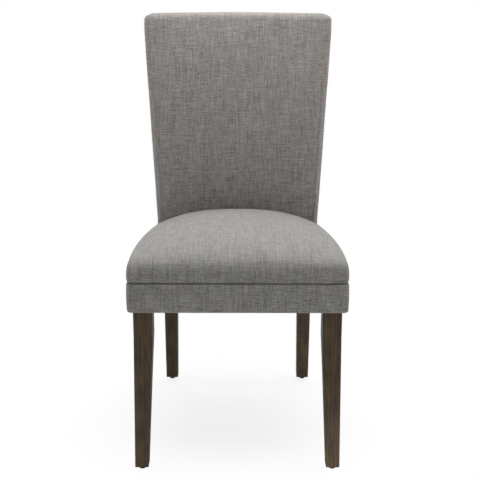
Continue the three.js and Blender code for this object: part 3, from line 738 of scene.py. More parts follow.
@dataclass(frozen=True)
class LinenFinish:
    """Slubby plain-weave upholstery cloth in a warm mid grey, with paler warp and darker weft."""

    name: str = "slubby_grey_linen"
    warp: tuple[float, float, float] = (0.341, 0.328, 0.308)
    weft: tuple[float, float, float] = (0.243, 0.239, 0.228)
    rosy: tuple[float, float, float] = (0.335, 0.288, 0.272)
    mossy: tuple[float, float, float] = (0.262, 0.278, 0.246)
    pitch: float = 1.05
    slub_width: float = 1.9
    warp_length: float = 34.0
    weft_length: float = 34.0
    slub_depth: float = 1.10
    streak_depth: float = 0.28
    heather_depth: float = 1.1
    # painted relief shade: how strongly the slubs' tone shows on upright and on level faces, standing in for
    # overhead light on their relief
    painted_shade_upright_contrast: float = 1.34
    painted_shade_level_contrast: float = 0.87
    mottle_depth: float = 0.17
    wander: float = 2.2
    # the cloth turns rosier along its weave's second coordinate from 420 to 700 mm, so the back's pieces are rosier
    # than the seat
    rosy_drift: float = 0.36
    drift_span: tuple[float, float] = (420.0, 700.0)
    tint_depth: float = 0.62
    tint_span: tuple[float, float] = (0.50, 0.72)
    # painted shade of the round yarns: lighter on their crowns, darker in the gaps between them
    painted_yarn_crown_light: float = 0.14
    painted_yarn_gap_shade: float = 0.91
    roughness: float = 0.88

    def material(self) -> Material:
        """Builds the cloth on its own weave coordinates.

        Returns:
            The material.
        """
        board = MaterialBoard(self.name)
        across, along, _ = board.axes(board.cloth())
        wander = board.stretched_noise(across, along, 0.0, (40, 9, 1), 1.0)
        drift = board.stretched_noise(across, along, 7.0, (9, 40, 1), 1.0)
        x = across + (wander - 0.5) * self.wander
        y = along + (drift - 0.5) * self.wander
        wide, tall, long = self.slub_width, self.warp_length, self.weft_length
        warp_slub = board.stretched_noise(x, y, 1.7, (wide, tall, 1), 3.0, 0.6) - 0.5
        weft_slub = board.stretched_noise(x, y, 5.1, (long, wide, 1), 3.0, 0.6) - 0.5
        warp_streak = board.stretched_noise(x, y, 21.7, (wide * 3, tall * 3.4, 1), 2.0) - 0.5
        weft_streak = board.stretched_noise(x, y, 25.1, (long * 3.4, wide * 3, 1), 2.0) - 0.5
        heather = board.stretched_noise(x, y, 9.3, (2.0, 2.3, 1), 1.0, 0.6) - 0.5
        mottle = board.stretched_noise(across, along, 3.3, (26, 30, 1), 3.0, 0.6) - 0.5
        tint = board.stretched_noise(across, along, 12.9, (13, 34, 1), 3.0, 0.65)

        columns, rows = x * (1 / self.pitch), y * (1 / self.pitch)
        over = (columns.apply("FLOOR") + rows.apply("FLOOR")).apply("PINGPONG", 1.0)
        bow_across = (columns.apply("FRACT") * math.pi).apply("SINE")
        bow_along = (rows.apply("FRACT") * math.pi).apply("SINE")
        warp_yarn = bow_across * (bow_along * 0.45 + 0.55)
        weft_yarn = bow_along * (bow_across * 0.45 + 0.55)
        yarn = over * warp_yarn + (1 - over) * weft_yarn

        light = (warp_slub + weft_slub) * self.slub_depth + (warp_streak + weft_streak) * self.streak_depth
        light = light + heather * self.heather_depth + mottle * self.mottle_depth
        # painted relief shade: the slubs' tone is strengthened on upright faces and softened on level ones, as
        # overhead light would shade their relief
        level = board.node("ShaderNodeAttribute", settings={"attribute_name": PAINTED_SHADE_FACING_MAP}, output="Fac")
        light = light * (self.painted_shade_upright_contrast - level * (self.painted_shade_upright_contrast - self.painted_shade_level_contrast))
        ground = board.blend(over * 0.6 + 0.2, self.weft, self.warp)
        ground = board.blend(along.ramp(*self.drift_span, 0.0, self.rosy_drift), ground, self.rosy)
        for amount, dye in ((tint, self.rosy), (1 - tint, self.mossy)):
            ground = board.blend(amount.ramp(*self.tint_span, 0.0, self.tint_depth), ground, dye)
        # the slubs' own tone with its painted relief shade, times the painted shade of the round yarns
        slub_tone_and_painted_shade = (light + 1.0) * (yarn * self.painted_yarn_crown_light + self.painted_yarn_gap_shade)
        grey = board.node("ShaderNodeCombineXYZ", {0: slub_tone_and_painted_shade, 1: slub_tone_and_painted_shade, 2: slub_tone_and_painted_shade})
        colour = board.blend(1.0, ground, grey, "MULTIPLY")
        relief = yarn * 0.6 + warp_slub * over * 1.2 + weft_slub * (1 - over) * 1.2
        rough = heather * 0.12 + self.roughness
        inputs = {
            "Base Color": colour, "Roughness": rough, "Specular IOR Level": 0.25, "Sheen Weight": 0.12,
            "Sheen Roughness": 0.5, "Sheen Tint": (0.9, 0.9, 0.88, 1.0),
        }
        return board.finish(inputs, relief, bump=0.55, depth=0.3)


class Grain(Enum):
    """Which way the grain of a wooden piece runs."""

    UPRIGHT = "Z"
    ACROSS = "X"


@dataclass(frozen=True)
class WoodFinish:
    """Straight-grained wood, stained or bare, with pores along the grain."""

    name: str
    light: tuple[float, float, float]
    dark: tuple[float, float, float]
    pores: float
    roughness: float
    coat: float
    grain: Grain = Grain.UPRIGHT

    def material(self) -> Material:
        """Builds the wood on the object's own coordinates.

        Returns:
            The material.
        """
        board = MaterialBoard(self.name)
        x, y, z = board.axes(board.place())
        if self.grain is Grain.ACROSS:
            x, z = z, x
        bend = board.stretched_noise(x, y, z, (60, 60, 160), 2.0)
        sway_x, sway_y = x + (bend - 0.5) * 14, y + (bend - 0.5) * 9
        figure = board.stretched_noise(sway_x, sway_y, z, (7, 7, 150), 4.0, 0.6)
        lines = ((sway_x * 0.9 + sway_y * 0.7 + figure * 9).apply("SINE") * 0.5 + 0.5) ** 2.0
        pores = board.stretched_noise(sway_x, sway_y, z, (0.7, 0.7, 22), 3.0, 0.65).ramp(0.56, 0.70)
        cloud = board.stretched_noise(x, y, z, (24, 24, 60), 3.0, 0.55)
        tone = figure * 0.5 + lines * 0.12 + cloud * 0.65
        colour = board.blend(tone.ramp(0.36, 0.90), self.dark, self.light)
        darker = tuple(channel * 0.45 for channel in self.dark)
        colour = board.blend(pores * self.pores, colour, darker)
        rough = self.roughness + (figure - 0.5) * 0.16 + pores * 0.1
        relief = 1 - pores * 0.8 - lines * 0.2
        inputs = {
            "Base Color": colour, "Roughness": rough, "Specular IOR Level": 0.26, "Coat Weight": self.coat,
            "Coat Roughness": 0.38,
        }
        return board.finish(inputs, relief, bump=0.25, depth=0.15)


@dataclass(frozen=True)
class PlywoodFinish:
    """Birch plywood, with plies that show on its edges."""

    name: str = "birch_plywood"
    ply: float = 1.4

    def material(self) -> Material:
        """Builds the plies along z and the face grain along y.

        Returns:
            The material.
        """
        board = MaterialBoard(self.name)
        x, y, z = board.axes(board.place())
        figure = board.stretched_noise(x, y, z, (6, 120, self.ply), 4.0, 0.6)
        plies = ((z * (math.pi / self.ply)).apply("SINE") * 0.5 + 0.5).ramp(0.2, 0.8)
        colour = board.blend(figure.ramp(0.3, 0.8), (0.52, 0.38, 0.24), (0.70, 0.56, 0.39))
        colour = board.blend(plies * 0.22, colour, (0.36, 0.24, 0.14))
        return board.finish({"Base Color": colour, "Roughness": figure * 0.2 + 0.55}, figure, bump=0.2, depth=0.1)


@dataclass(frozen=True)
class FoamFinish:
    """Open-cell foam or fluffy wadding."""

    name: str
    colour: tuple[float, float, float]
    cell: float

    def material(self) -> Material:
        """Builds cells on the object's coordinates.

        Returns:
            The material.
        """
        board = MaterialBoard(self.name)
        spot = board.place()
        cells = board.node("ShaderNodeTexVoronoi", {"Vector": spot, "Scale": 1 / self.cell}, output="Distance")
        cloud = board.stretched_noise(*board.axes(spot), (25, 25, 25), 3.0)
        shadow = tuple(channel * 0.7 for channel in self.colour)
        colour = board.blend(cells.ramp(0.1, 0.7, 0.0, 0.6) + cloud * 0.2, self.colour, shadow)
        return board.finish({"Base Color": colour, "Roughness": cloud * 0.1 + 0.85}, cells, bump=0.6, depth=0.6)


@dataclass(frozen=True)
class WebbingFinish:
    """Woven elastic webbing with a herringbone of pale and dark ribs."""

    name: str = "elastic_webbing"
    rib_pitch: float = 2.4

    def material(self) -> Material:
        """Builds ribs across the strap.

        Returns:
            The material.
        """
        board = MaterialBoard(self.name)
        x, y, z = board.axes(board.place())
        rib = (x * (2 * math.pi / self.rib_pitch) + z.apply("PINGPONG", 3.0)).apply("SINE") * 0.5 + 0.5
        fuzz = board.stretched_noise(x, y, z, (2, 2, 2), 2.0)
        colour = board.blend(rib * 0.7 + fuzz * 0.3, (0.05, 0.05, 0.055), (0.38, 0.36, 0.32))
        return board.finish({"Base Color": colour, "Roughness": fuzz * 0.1 + 0.75}, rib, bump=0.5, depth=0.4)


@dataclass(frozen=True)
class NonwovenFinish:
    """Charcoal spun-bonded dust cloth with its grid of heat-bonded points."""

    name: str = "charcoal_dust_cloth"
    bond: float = 2.2

    def material(self) -> Material:
        """Builds fibres and bond points on the cloth's coordinates.

        Returns:
            The material.
        """
        board = MaterialBoard(self.name)
        x, y, _ = board.axes(board.cloth())
        fibres = board.stretched_noise(x, y, 0.0, (0.6, 7, 1), 4.0, 0.7)
        strands = board.stretched_noise(x, y, 4.0, (7, 0.6, 1), 4.0, 0.7)
        cloud = board.stretched_noise(x, y, 8.0, (22, 22, 1), 3.0)
        waves = [(axis * (2 * math.pi / self.bond)).apply("SINE") for axis in (x, y)]
        points = (waves[0] * waves[1]).ramp(0.35, 0.8)
        tone = fibres * 0.4 + strands * 0.3 + cloud * 0.5 - points * 0.25
        colour = board.blend(tone.ramp(0.25, 0.85), (0.020, 0.020, 0.022), (0.062, 0.062, 0.066))
        inputs = {"Base Color": colour, "Roughness": 0.9 - points * 0.3}
        return board.finish(inputs, 1 - points * 0.6, bump=0.5, depth=0.2)


@dataclass(frozen=True)
class MetalFinish:
    """Zinc-plated steel with fine drawing marks."""

    name: str = "plated_steel"

    def material(self) -> Material:
        """Builds faint marks and stains.

        Returns:
            The material.
        """
        board = MaterialBoard(self.name)
        spot = board.axes(board.place())
        marks = board.stretched_noise(*spot, (0.3, 0.3, 4), 3.0)
        stain = board.stretched_noise(*spot, (5, 5, 5), 3.0)
        colour = board.blend(stain.ramp(0.35, 0.75), (0.52, 0.52, 0.50), (0.66, 0.66, 0.65))
        inputs = {"Base Color": colour, "Metallic": 1.0, "Roughness": marks * 0.2 + 0.24}
        return board.finish(inputs, marks, bump=0.15, depth=0.05)


@dataclass(frozen=True)
class PlasticFinish:
    """Dark moulded nylon, finely pitted and scuffed where it meets the floor."""

    name: str = "dark_nylon"
    scuff_height: float = 2.5

    def material(self) -> Material:
        """Builds the pitting and a paler scuffed foot.

        Returns:
            The material.
        """
        board = MaterialBoard(self.name)
        x, y, z = board.axes(board.place())
        pits = board.stretched_noise(x, y, z, (0.5, 0.5, 0.5), 2.0)
        wear = (1 - z.ramp(0.2, self.scuff_height)) * pits.ramp(0.35, 0.65)
        colour = board.blend(wear * 0.5, (0.026, 0.023, 0.020), (0.10, 0.095, 0.09))
        return board.finish({"Base Color": colour, "Roughness": wear * 0.25 + 0.42}, pits, bump=0.3, depth=0.08)


# Upholstery


@dataclass
class PaddedPiece:
    """A piece of fabric together with the padding under it."""

    name: ClassVar[str]
    stands_for: ClassVar[tuple[str, ...]]
    fill: ClassVar[float]

    def skin(self) -> Skin:
        """The piece's closed surface, which each piece makes in its own way."""
        raise NotImplementedError

    def build(self, material: Material) -> Object:
        """Makes the piece.

        Args:
            material: The fabric.

        Returns:
            The finished piece.
        """
        piece = self.skin().to_object(self.name)
        settle(piece, material, Slot.FABRIC, *self.stands_for)
        return piece


@dataclass
class SeatCushion(PaddedPiece):
    """The crowned seat pad in one drawn-over piece of fabric, with a room under it for its board."""

    name = "seat_cushion"
    stands_for = ("seat_cover", "seat_foam")
    fill = 0.85

    base: float = 436.1
    board_bottom: float = 437.6
    board_top: float = 450.2
    box_front: float = 55.8
    box_rear: float = 36.5
    box_power: float = 1.68
    crown_front: float = 22.3
    crown_rear: float = 42.6
    crown_power: float = 2.5
    crown_onset: float = 70.0
    nose_roll: float = 46.0
    nose_power: float = 3.9
    nose_drop: float = 11.3
    nose_fade: float = 45.0
    side_roll: float = 14.9
    side_power: float = 3.72
    rear_roll: float = 9.0
    side_bow: float = 7.6
    pull_in: float = 6.0
    pull_height: float = 3.2
    front_radius: float = 12.0
    rear_radius: float = 26.0
    corner_growth: float = 0.28
    rear: float = 427.9
    board_inset: float = 10.2
    hem: float = 30.0
    start_inset: float = 0.8
    swell_cap: float = 3.2
    held_height: float = 6.0
    free_height: float = 40.0
    wave: float = 0.5
    wave_length: float = 190.0
    pucker: float = 0.35
    pucker_length: float = 90.0
    pucker_height: float = 8.0
    coarse_steps: tuple[int, int, int] = (34, 32, 3)
    fine_steps: tuple[int, int, int] = (72, 66, 7)
    coarse_turns: int = 13
    fine_turns: int = 24
    low_turns: tuple[float, ...] = (0.0, 0.006, 0.016, 0.03, 0.05, 0.075)
    first_turn: float = 0.105

    def half_width(self, y: Numbers) -> Array:
        """Half the width over the pad at one depth."""
        share = np.clip(np.asarray(y, float) / LINES.seat_depth, 0.0, 1.0)
        return LINES.band_outer(y) + self.side_bow * 4 * share * (1 - share)

    def rise(self, x: Array, y: Array) -> Array:
        """The pad's full height over its underside at one place.

        Args:
            x: The places across.
            y: The places in depth.

        Returns:
            The height at each place.
        """
        share = np.clip(y / LINES.seat_depth, 0.0, 1.0)
        boxing = self.box_front + (self.box_rear - self.box_front) * share**self.box_power
        crown = self.crown_front + (self.crown_rear - self.crown_front) * share
        crown = crown * (1 - np.exp(-np.maximum(y, 0.0) / self.crown_onset))
        across = np.clip(np.abs(x) / self.half_width(y), 0.0, 1.0)
        drop = self.nose_drop * np.exp(-np.maximum(y, 0.0) / self.nose_fade)
        return boxing + crown * (1 - across**self.crown_power) - drop

    def ring(self, turn: float, side: Side, shares: Array) -> Array:
        """One side of the pad's outline.

        Args:
            turn: How far the roll has turned, from 0 at the seam to 1 at the top, in quarter turns.
            side: The side.
            shares: The places along it.

        Returns:
            The points.
        """
        share = math.sin(turn * QUARTER)
        nose = float(roll_in(self.nose_roll, share, self.nose_power))
        wide = float(self.half_width(0.0))
        plan = RoundedPlan(
            half=wide - float(roll_in(self.side_roll, share, self.side_power)),
            front=nose,
            rear=self.rear - float(roll_in(self.rear_roll, share, 2)),
            front_radius=self.front_radius + nose * self.corner_growth,
            rear_radius=self.rear_radius,
        ).side(side, shares)
        y = plan[:, 1]
        x = plan[:, 0] * self.half_width(y) / wide
        height = share * self.rise(x, y)
        pulled = self.pull_in * math.exp(-float(height.mean()) / self.pull_height)
        squeeze = 1 - pulled / wide
        middle = LINES.seat_depth / 2
        return np.stack([x * squeeze, middle + (y - middle) * (1 - pulled / middle), self.base + height], axis=-1)

    def board_ring(self, inset: float, z: float, side: Side, shares: Array) -> Array:
        """One side of an outline under the pad, at an inset from the band's outer face.

        Args:
            inset: The inset.
            z: The height.
            side: The side.
            shares: The places along it.

        Returns:
            The points.
        """
        wide = float(LINES.band_outer(0.0))
        radius = self.front_radius
        plan = RoundedPlan(wide - inset, inset, self.rear - inset, radius, radius).side(side, shares)
        x = plan[:, 0] * LINES.band_outer(plan[:, 1]) / wide
        return np.stack([x, plan[:, 1], np.full_like(x, z)], axis=-1)

    def shares(self, coarse: bool) -> dict[Side, Array]:
        """The places along each side, on the net that is simulated or on the fine one."""
        width, depth, arc = self.coarse_steps if coarse else self.fine_steps
        return dict(zip(Side, [side_shares(width, arc), side_shares(depth, arc)] * 2))

    def outer_nets(self, turns: Array, coarse: bool) -> list[Net]:
        """The pad's visible wall and top.

        Args:
            turns: The roll's turn at each row of the wall, rising to 1.
            coarse: True for the net that is simulated.

        Returns:
            The wall and the top.
        """
        places = self.shares(coarse)
        rings = [{side: self.ring(turn, side, places[side]) for side in places} for turn in turns]
        wall = np.stack([around(ring) for ring in rings])
        top = filled(rings[-1])
        top[..., 2] = self.base + self.rise(top[..., 0], top[..., 1])
        down = np.linalg.norm(np.diff(wall[::-1], axis=0), axis=-1)
        run = np.concatenate([np.zeros((1, wall.shape[1])), np.cumsum(down, axis=0)])[::-1]
        along = np.gradient(wall[0, :, :2], axis=0)
        along[[0, -1]] = along[[0, -1]].mean(0)
        facing = along[:, 0] ** 2 / np.sum(along**2, axis=1)
        edge = wall[-1, :, :2]
        toward = np.sign(edge - [0.0, LINES.seat_depth / 2])
        ahead = np.stack([wall[..., 0], edge[:, 1] + toward[:, 1] * run], axis=-1)
        aside = np.stack([edge[:, 0] + toward[:, 0] * run, wall[..., 1]], axis=-1)
        weave = ahead * facing[:, None] + aside * (1 - facing)[:, None]
        return [Net(wall, weave), Net(top, top[..., :2].copy())]

    def swollen(self, nets: list[Net], turns: Array) -> list[Net]:
        """Adds the simulated swelling and slight unevenness to the fine nets.

        Args:
            nets: The fine wall and top.
            turns: The roll's turn at each row of the wall.

        Returns:
            The same nets.
        """
        coarse_turns = np.linspace(0.0, 1.0, self.coarse_turns)
        coarse = self.outer_nets(coarse_turns, True)
        held = [(net.points[..., 2] < self.base + self.held_height).astype(float) for net in coarse]
        moves = FabricSwell(self.swell_cap, self.start_inset).run(coarse, held)
        places, coarse_places = self.shares(False), self.shares(True)

        def loop_places(sides: dict[Side, Array]) -> Array:
            """The places round the whole ring, one unit for each side."""
            joined = [sides[side][:-1] + number for number, side in enumerate(Side)]
            return np.concatenate([*joined, [4.0]])

        wall_move = resampled(moves[0], coarse_turns, loop_places(coarse_places), turns, loop_places(places))
        top_move = resampled(
            moves[1], coarse_places[Side.LEFT], coarse_places[Side.FRONT], places[Side.LEFT], places[Side.FRONT]
        )
        for net, move in zip(nets, (wall_move, top_move)):
            x, y, z = np.moveaxis(net.points, -1, 0)
            free = smooth_step(z, self.base + self.held_height, self.base + self.free_height)
            risen = smooth_step(z, self.base, self.base + self.pucker_height)
            net.points = net.points + move
            net.points[..., 2] += free * self.wave * ripples(x, y, self.wave_length, 0.7)
            net.points[..., 1] += (1 - free) * self.pucker * ripples(x, z, self.pucker_length, 1.9) * risen
        return nets

    def skin(self) -> Skin:
        """Makes the pad's surface, whose underside steps up into the board's room.

        Returns:
            The closed surface.
        """
        turns = np.concatenate([self.low_turns, np.linspace(self.first_turn, 1.0, self.fine_turns)])
        wall, top = self.swollen(self.outer_nets(turns, False), turns)
        skin = Skin([wall, top])
        places = self.shares(False)
        under = [
            around({side: self.board_ring(inset, z, side, places[side]) for side in places})
            for inset, z in (
                (self.hem, self.base),
                (self.hem, self.board_bottom),
                (self.board_inset, self.board_bottom),
                (self.board_inset, self.board_top),
            )
        ]
        skin.add(np.stack([wall.points[0], *under]), flipped=True)
        pocket = {side: self.board_ring(self.board_inset, self.board_top, side, places[side]) for side in places}
        skin.add(filled(pocket), flipped=True)
        return skin


@dataclass
class SeatBand(PaddedPiece):
    """The padded fabric band round the front and sides of the seat frame, turned in over and under the rails."""

    name = "seat_band"
    stands_for = ("rail_cover", "rail_padding")
    fill = 0.9

    bottom: float = LINES.band_bottom
    top: float = LINES.band_top
    rear: float = 427.9
    corner_radius: float = 12.0
    bottom_roll: float = 3.4
    top_roll: float = 1.8
    bulge: float = 0.9
    rail_face: float = 11.8
    turn_in: float = 27.1
    cloth: float = 1.5
    swell_cap: float = 1.2
    arc_share: float = 0.06
    least_radius: float = 0.3
    notch_gap: float = 0.3
    notch_step: float = 2e-4
    coarse_steps: tuple[int, int] = (26, 3)
    fine_steps: tuple[int, int] = (62, 8)
    halvings: int = 24
    wave: float = 0.3
    wave_length: float = 120.0
    weave_shift: tuple[float, float] = (900.0, 300.0)

    def path(self, inset: float, shares: Array) -> Array:
        """The band's outline in plan at one inset.

        Args:
            inset: The distance in from the outer face.
            shares: Places along the outline: 0 to 1 on the left, 1 to 2 in front and 2 to 3 on the right.

        Returns:
            An array of x and y, from the left rear end to the right rear end.
        """
        wide = float(LINES.band_outer(0.0))
        radius = max(self.corner_radius - inset, self.least_radius)
        plan = RoundedPlan(wide - inset, inset, self.rear, radius, 0.0, self.arc_share)
        points = np.zeros((len(shares), 2))
        for side, low in ((Side.LEFT, 0), (Side.FRONT, 1), (Side.RIGHT, 2)):
            inside = (shares >= low) & (shares <= low + 1)
            points[inside] = plan.side(side, shares[inside] - low)
        points[:, 0] *= LINES.band_outer(points[:, 1]) / wide
        return points

    def notched(self, points: Array) -> Array:
        """True where the band's outline passes a front leg, so that nothing turns in under it."""
        size = LINES.leg_size + self.notch_gap
        return (points[:, 1] < LINES.frame_front + size) & (np.abs(points[:, 0]) > LINES.half_front - size)

    def columns(self, coarse: bool) -> Array:
        """The places along the outline, with close pairs where the legs' notches end.

        Args:
            coarse: True for the net that is simulated.

        Returns:
            The places, rising.
        """
        free = side_shares(*(self.coarse_steps if coarse else self.fine_steps), self.arc_share)
        left = free[free >= self.arc_share]
        right = free[free <= 1 - self.arc_share]
        shares = np.concatenate([left, 1 + free[1:], 2 + right[1:]])
        if coarse:
            return shares
        notch = self.notched(self.path(0.0, shares))
        extra = []
        for index in np.nonzero(notch[1:] != notch[:-1])[0]:
            low, high = shares[index], shares[index + 1]
            for _ in range(self.halvings):
                middle = (low + high) / 2
                if self.notched(self.path(0.0, np.array([middle])))[0] == notch[index]:
                    low = middle
                else:
                    high = middle
            extra += [low - self.notch_step, low + self.notch_step]
        return np.sort(np.concatenate([shares, extra]))

    def face_rows(self, coarse: bool) -> list[tuple[float, float]]:
        """The inset and height of each row up the band's outer face, bulged between its rolled edges.

        Args:
            coarse: True for the net that is simulated.

        Returns:
            The rows, from the bottom up.
        """
        steps = 4 if coarse else 14
        arc = np.linspace(0, QUARTER, 3 if coarse else 6)
        rows = [(self.bottom_roll * (1 - math.sin(a)), self.bottom + self.bottom_roll * (1 - math.cos(a)))
                for a in arc]
        span = self.top - self.top_roll - self.bottom - self.bottom_roll
        rows += [(0.0, self.bottom + self.bottom_roll + span * step / steps) for step in range(1, steps)]
        rows += [(self.top_roll * (1 - math.cos(a)), self.top - self.top_roll * (1 - math.sin(a))) for a in arc]
        middle, half = (self.top + self.bottom) / 2, (self.top - self.bottom) / 2
        return [(inset - self.bulge * max(1 - ((z - middle) / half) ** 2, 0.0), z) for inset, z in rows]

    def net(self, rows: list[tuple[float, float]], shares: Array) -> Array:
        """The points of rows that follow the outline."""
        lines = [np.column_stack([self.path(inset, shares), np.full(len(shares), z)]) for inset, z in rows]
        return np.stack(lines)

    def skin(self) -> Skin:
        """Makes the band's surface, closed behind the rails.

        Returns:
            The closed surface.
        """
        coarse_columns, coarse_rows = self.columns(True), self.face_rows(True)
        coarse = Net(self.net(coarse_rows, coarse_columns), np.zeros((len(coarse_rows), len(coarse_columns), 2)))
        grip = np.zeros(coarse.points.shape[:2])
        grip[[0, 1, -2, -1]] = 1.0
        grip[:, [0, -1]] = 1.0
        move = FabricSwell(self.swell_cap).run([coarse], [grip])[0]
        columns, rows = self.columns(False), self.face_rows(False)
        face = self.net(rows, columns)
        heights, coarse_heights = (np.array([z for _, z in line]) for line in (rows, coarse_rows))
        face += resampled(move, coarse_heights, coarse_columns, heights, columns)
        outline = self.path(0.0, columns)
        run = lengths_along(outline)
        ripple = self.wave * ripples(run[None, :], heights[:, None], self.wave_length, 2.3)
        ripple *= np.sin(np.linspace(0, math.pi, len(rows)))[:, None]
        face[..., 0] += ripple * np.sign(face[..., 0])
        over = self.net([(self.turn_in, self.top), (self.turn_in, self.top - self.cloth)], columns)
        behind = np.linspace(self.top - self.cloth, self.bottom + self.cloth, len(rows))
        inner = self.net([(self.rail_face, z) for z in behind], columns)
        under = self.net([(self.turn_in, self.bottom + self.cloth), (self.turn_in, self.bottom)], columns)
        stop = self.net([(self.rail_face, self.bottom + self.cloth), (self.rail_face, self.bottom)], columns)
        notch = self.notched(outline)
        under[:, notch] = stop[:, notch]
        loop = np.concatenate([face, over, inner, under, face[:1]])
        down = lengths_along(loop[:, len(columns) // 2])
        weave = np.stack(np.broadcast_arrays(run[None, :], down[:, None]), axis=-1) + self.weave_shift
        skin = Skin()
        skin.add(loop, weave)
        self.close_end(skin, loop[:, 0], len(rows), False)
        self.close_end(skin, loop[:, -1], len(rows), True)
        return skin

    def close_end(self, skin: Skin, section: Array, count: int, flipped: bool) -> None:
        """Closes one rear end of the band.

        Args:
            skin: The band's skin.
            section: The closed line round the band's end.
            count: How many of its points lie on the outer face.
            flipped: True turns the faces round.
        """
        outer, over = section[:count], section[count : count + 2]
        inner = section[count + 2 : 2 * count + 2][::-1]
        under = section[2 * count + 2 : 2 * count + 4]
        skin.add(np.stack([outer, inner]), flipped=flipped)
        skin.add(np.array([[outer[-1], over[0]], [inner[-1], over[1]]]), flipped=flipped)
        skin.add(np.array([[outer[0], under[1]], [inner[0], under[0]]]), flipped=not flipped)


@dataclass
class InsideBack(PaddedPiece):
    """The back's front panel, drawn over the top, and its two boxed sides, over a room for the frame."""

    name = "inside_back"
    stands_for = ("inside_back_cover", "back_foam")
    fill = 0.85

    front_bottom: float = 450.2
    side_bottom: float = LINES.band_bottom
    drop_start: float = 560.0
    drop_width: float = 3.2
    roll: float = 18.0
    side_roll: float = 29.0
    side_power: float = 2.15
    top_crown: float = 1.5
    crown: float = 4.0
    belly: float = 9.0
    belly_low: float = 518.0
    belly_fullness: float = 1.25
    raise_height: float = 110.0
    edge_radius: float = 14.0
    low_edge_radius: float = 3.0
    seam_low: float = 16.0
    seam_high: float = 10.0
    seam_shift: tuple[float, float] = (740.0, 960.0)
    seam_turn: float = 16.6
    seam_depth: float = 1.9
    seam_width: float = 1.6
    seam_swell: float = 0.45
    swell_place: float = 6.5
    swell_width: float = 4.0
    seam_grip: float = 0.85
    top_ease: float = 0.55
    ease_span: tuple[float, float] = (40.0, 10.0)
    slant: float = 5.0
    slant_place: float = 3.0
    slant_reach: float = 12.0
    least_slant: float = 0.02
    rear_gap: float = 0.3
    rear_edge: float = 1.3
    rear_round: float = 1.6
    rear_columns: tuple[float, ...] = (2.6, 1.3, 0.5, 0.0)
    side_foam: float = 10.8
    room_front: float = 2.0
    room_top: float = 985.7
    swell_cap: float = 2.6
    start_inset: float = 0.2
    wave: float = 0.5
    wave_length: float = 210.0
    near_seam: tuple[float, ...] = (-8.0, -5.0, -3.0, -1.8, -0.9, 0.0, 0.9, 1.8, 3.0, 5.0, 8.0)
    line_steps: tuple[int, int, int] = (120, 39, 30)
    coarse_steps: tuple[int, int] = (18, 6)
    fine_steps: tuple[int, int] = (34, 10)
    weave_shift: tuple[float, float] = (430.0, 170.0)
    cap_shift: float = -200.0

    @property
    def roll_start(self) -> float:
        """The distance up the front's profile at which it rolls over the top."""
        return LINES.height - self.roll

    @property
    def seam_level(self) -> float:
        """The distance up the profile at which the seam crosses the side's top."""
        return self.roll_start + self.seam_turn

    @property
    def profile_end(self) -> float:
        """The whole length of the profile."""
        return self.roll_start + self.roll * QUARTER

    def level(self, rho: Numbers) -> tuple[Array, Array]:
        """The height and the roll's share at a distance up the front's profile."""
        share = np.sin(np.clip((np.asarray(rho, float) - self.roll_start) / self.roll, 0.0, QUARTER))
        return np.minimum(rho, self.roll_start) + self.roll * share, share

    def seam_inset(self, z: Numbers) -> Array:
        """How far the side seam lies in from the back's widest line at one height."""
        return self.seam_low + (self.seam_high - self.seam_low) * smooth_step(z, *self.seam_shift)

    def outline(self, rho: float) -> tuple[Array, float]:
        """The right half of the back's outline in plan at one level.

        Args:
            rho: The distance up the front's profile.

        Returns:
            The line from the middle of the front to the rear edge, and how far along it the seam is.
        """
        z, share = (float(value) for value in self.level(rho))
        half = float(LINES.back_half(z)) - float(roll_in(self.side_roll, share, self.side_power))
        raised = float(np.clip((z - LINES.rake_low) / self.raise_height, 0.0, 1.0))
        edge = self.low_edge_radius + (self.edge_radius - self.low_edge_radius) * raised
        front = float(LINES.post_front(z)) - LINES.front_layer + float(roll_in(self.roll, share, 2))
        up = float(np.clip((z - self.belly_low) / (LINES.height - self.belly_low), 0.0, 1.0))
        full = self.belly * 4 * up * (1 - up)
        rear = float(LINES.post_rear(z)) + self.rear_gap
        flat, curved, straight = self.line_steps
        across = np.linspace(0.0, half - edge, flat)
        swell = np.clip(1 - (across / half) ** 2, 0.0, 1.0)
        bulge = self.crown * raised * swell
        bulge += full * np.clip(self.belly_fullness * (1 - (across / half) ** 6), 0.0, 1.0)
        angles = np.linspace(-QUARTER, 0.0, curved + 1)[1:]
        arc = np.stack([half - edge + edge * np.cos(angles), front + edge + edge * np.sin(angles)], -1)
        arc[:, 1] -= bulge[-1] * (1 - np.linspace(0, 1, curved)) ** 2
        side = np.stack([np.full(straight, half), np.linspace(front + edge, rear, straight + 1)[1:]], -1)
        line = np.concatenate([np.stack([across, front - bulge], -1), arc, side])
        run = lengths_along(line)
        seam_x = half - float(self.seam_inset(z))
        seam = float(np.interp(seam_x, line[: flat + curved, 0], run[: flat + curved]))
        return line, seam

    def top_height(self, x: Array, z: Array, share: Array) -> Array:
        """Lowers the top toward its ends, as the foam does."""
        return z - share * self.top_crown * (x / LINES.back_half(z)) ** 2

    def point(self, rho: float, offsets: Array) -> Array:
        """Points of the right half at one level.

        Args:
            rho: The distance up the front's profile.
            offsets: Distances along the outline from the seam, toward the rear.

        Returns:
            An array of points.
        """
        line, seam = self.outline(rho)
        run = lengths_along(line)
        along = np.clip(seam + offsets, 0.0, run[-1])
        x, y = np.interp(along, run, line[:, 0]), np.interp(along, run, line[:, 1])
        z, share = self.level(rho)
        return np.stack([x, y, self.top_height(x, np.full_like(x, float(z)), share)], axis=-1)

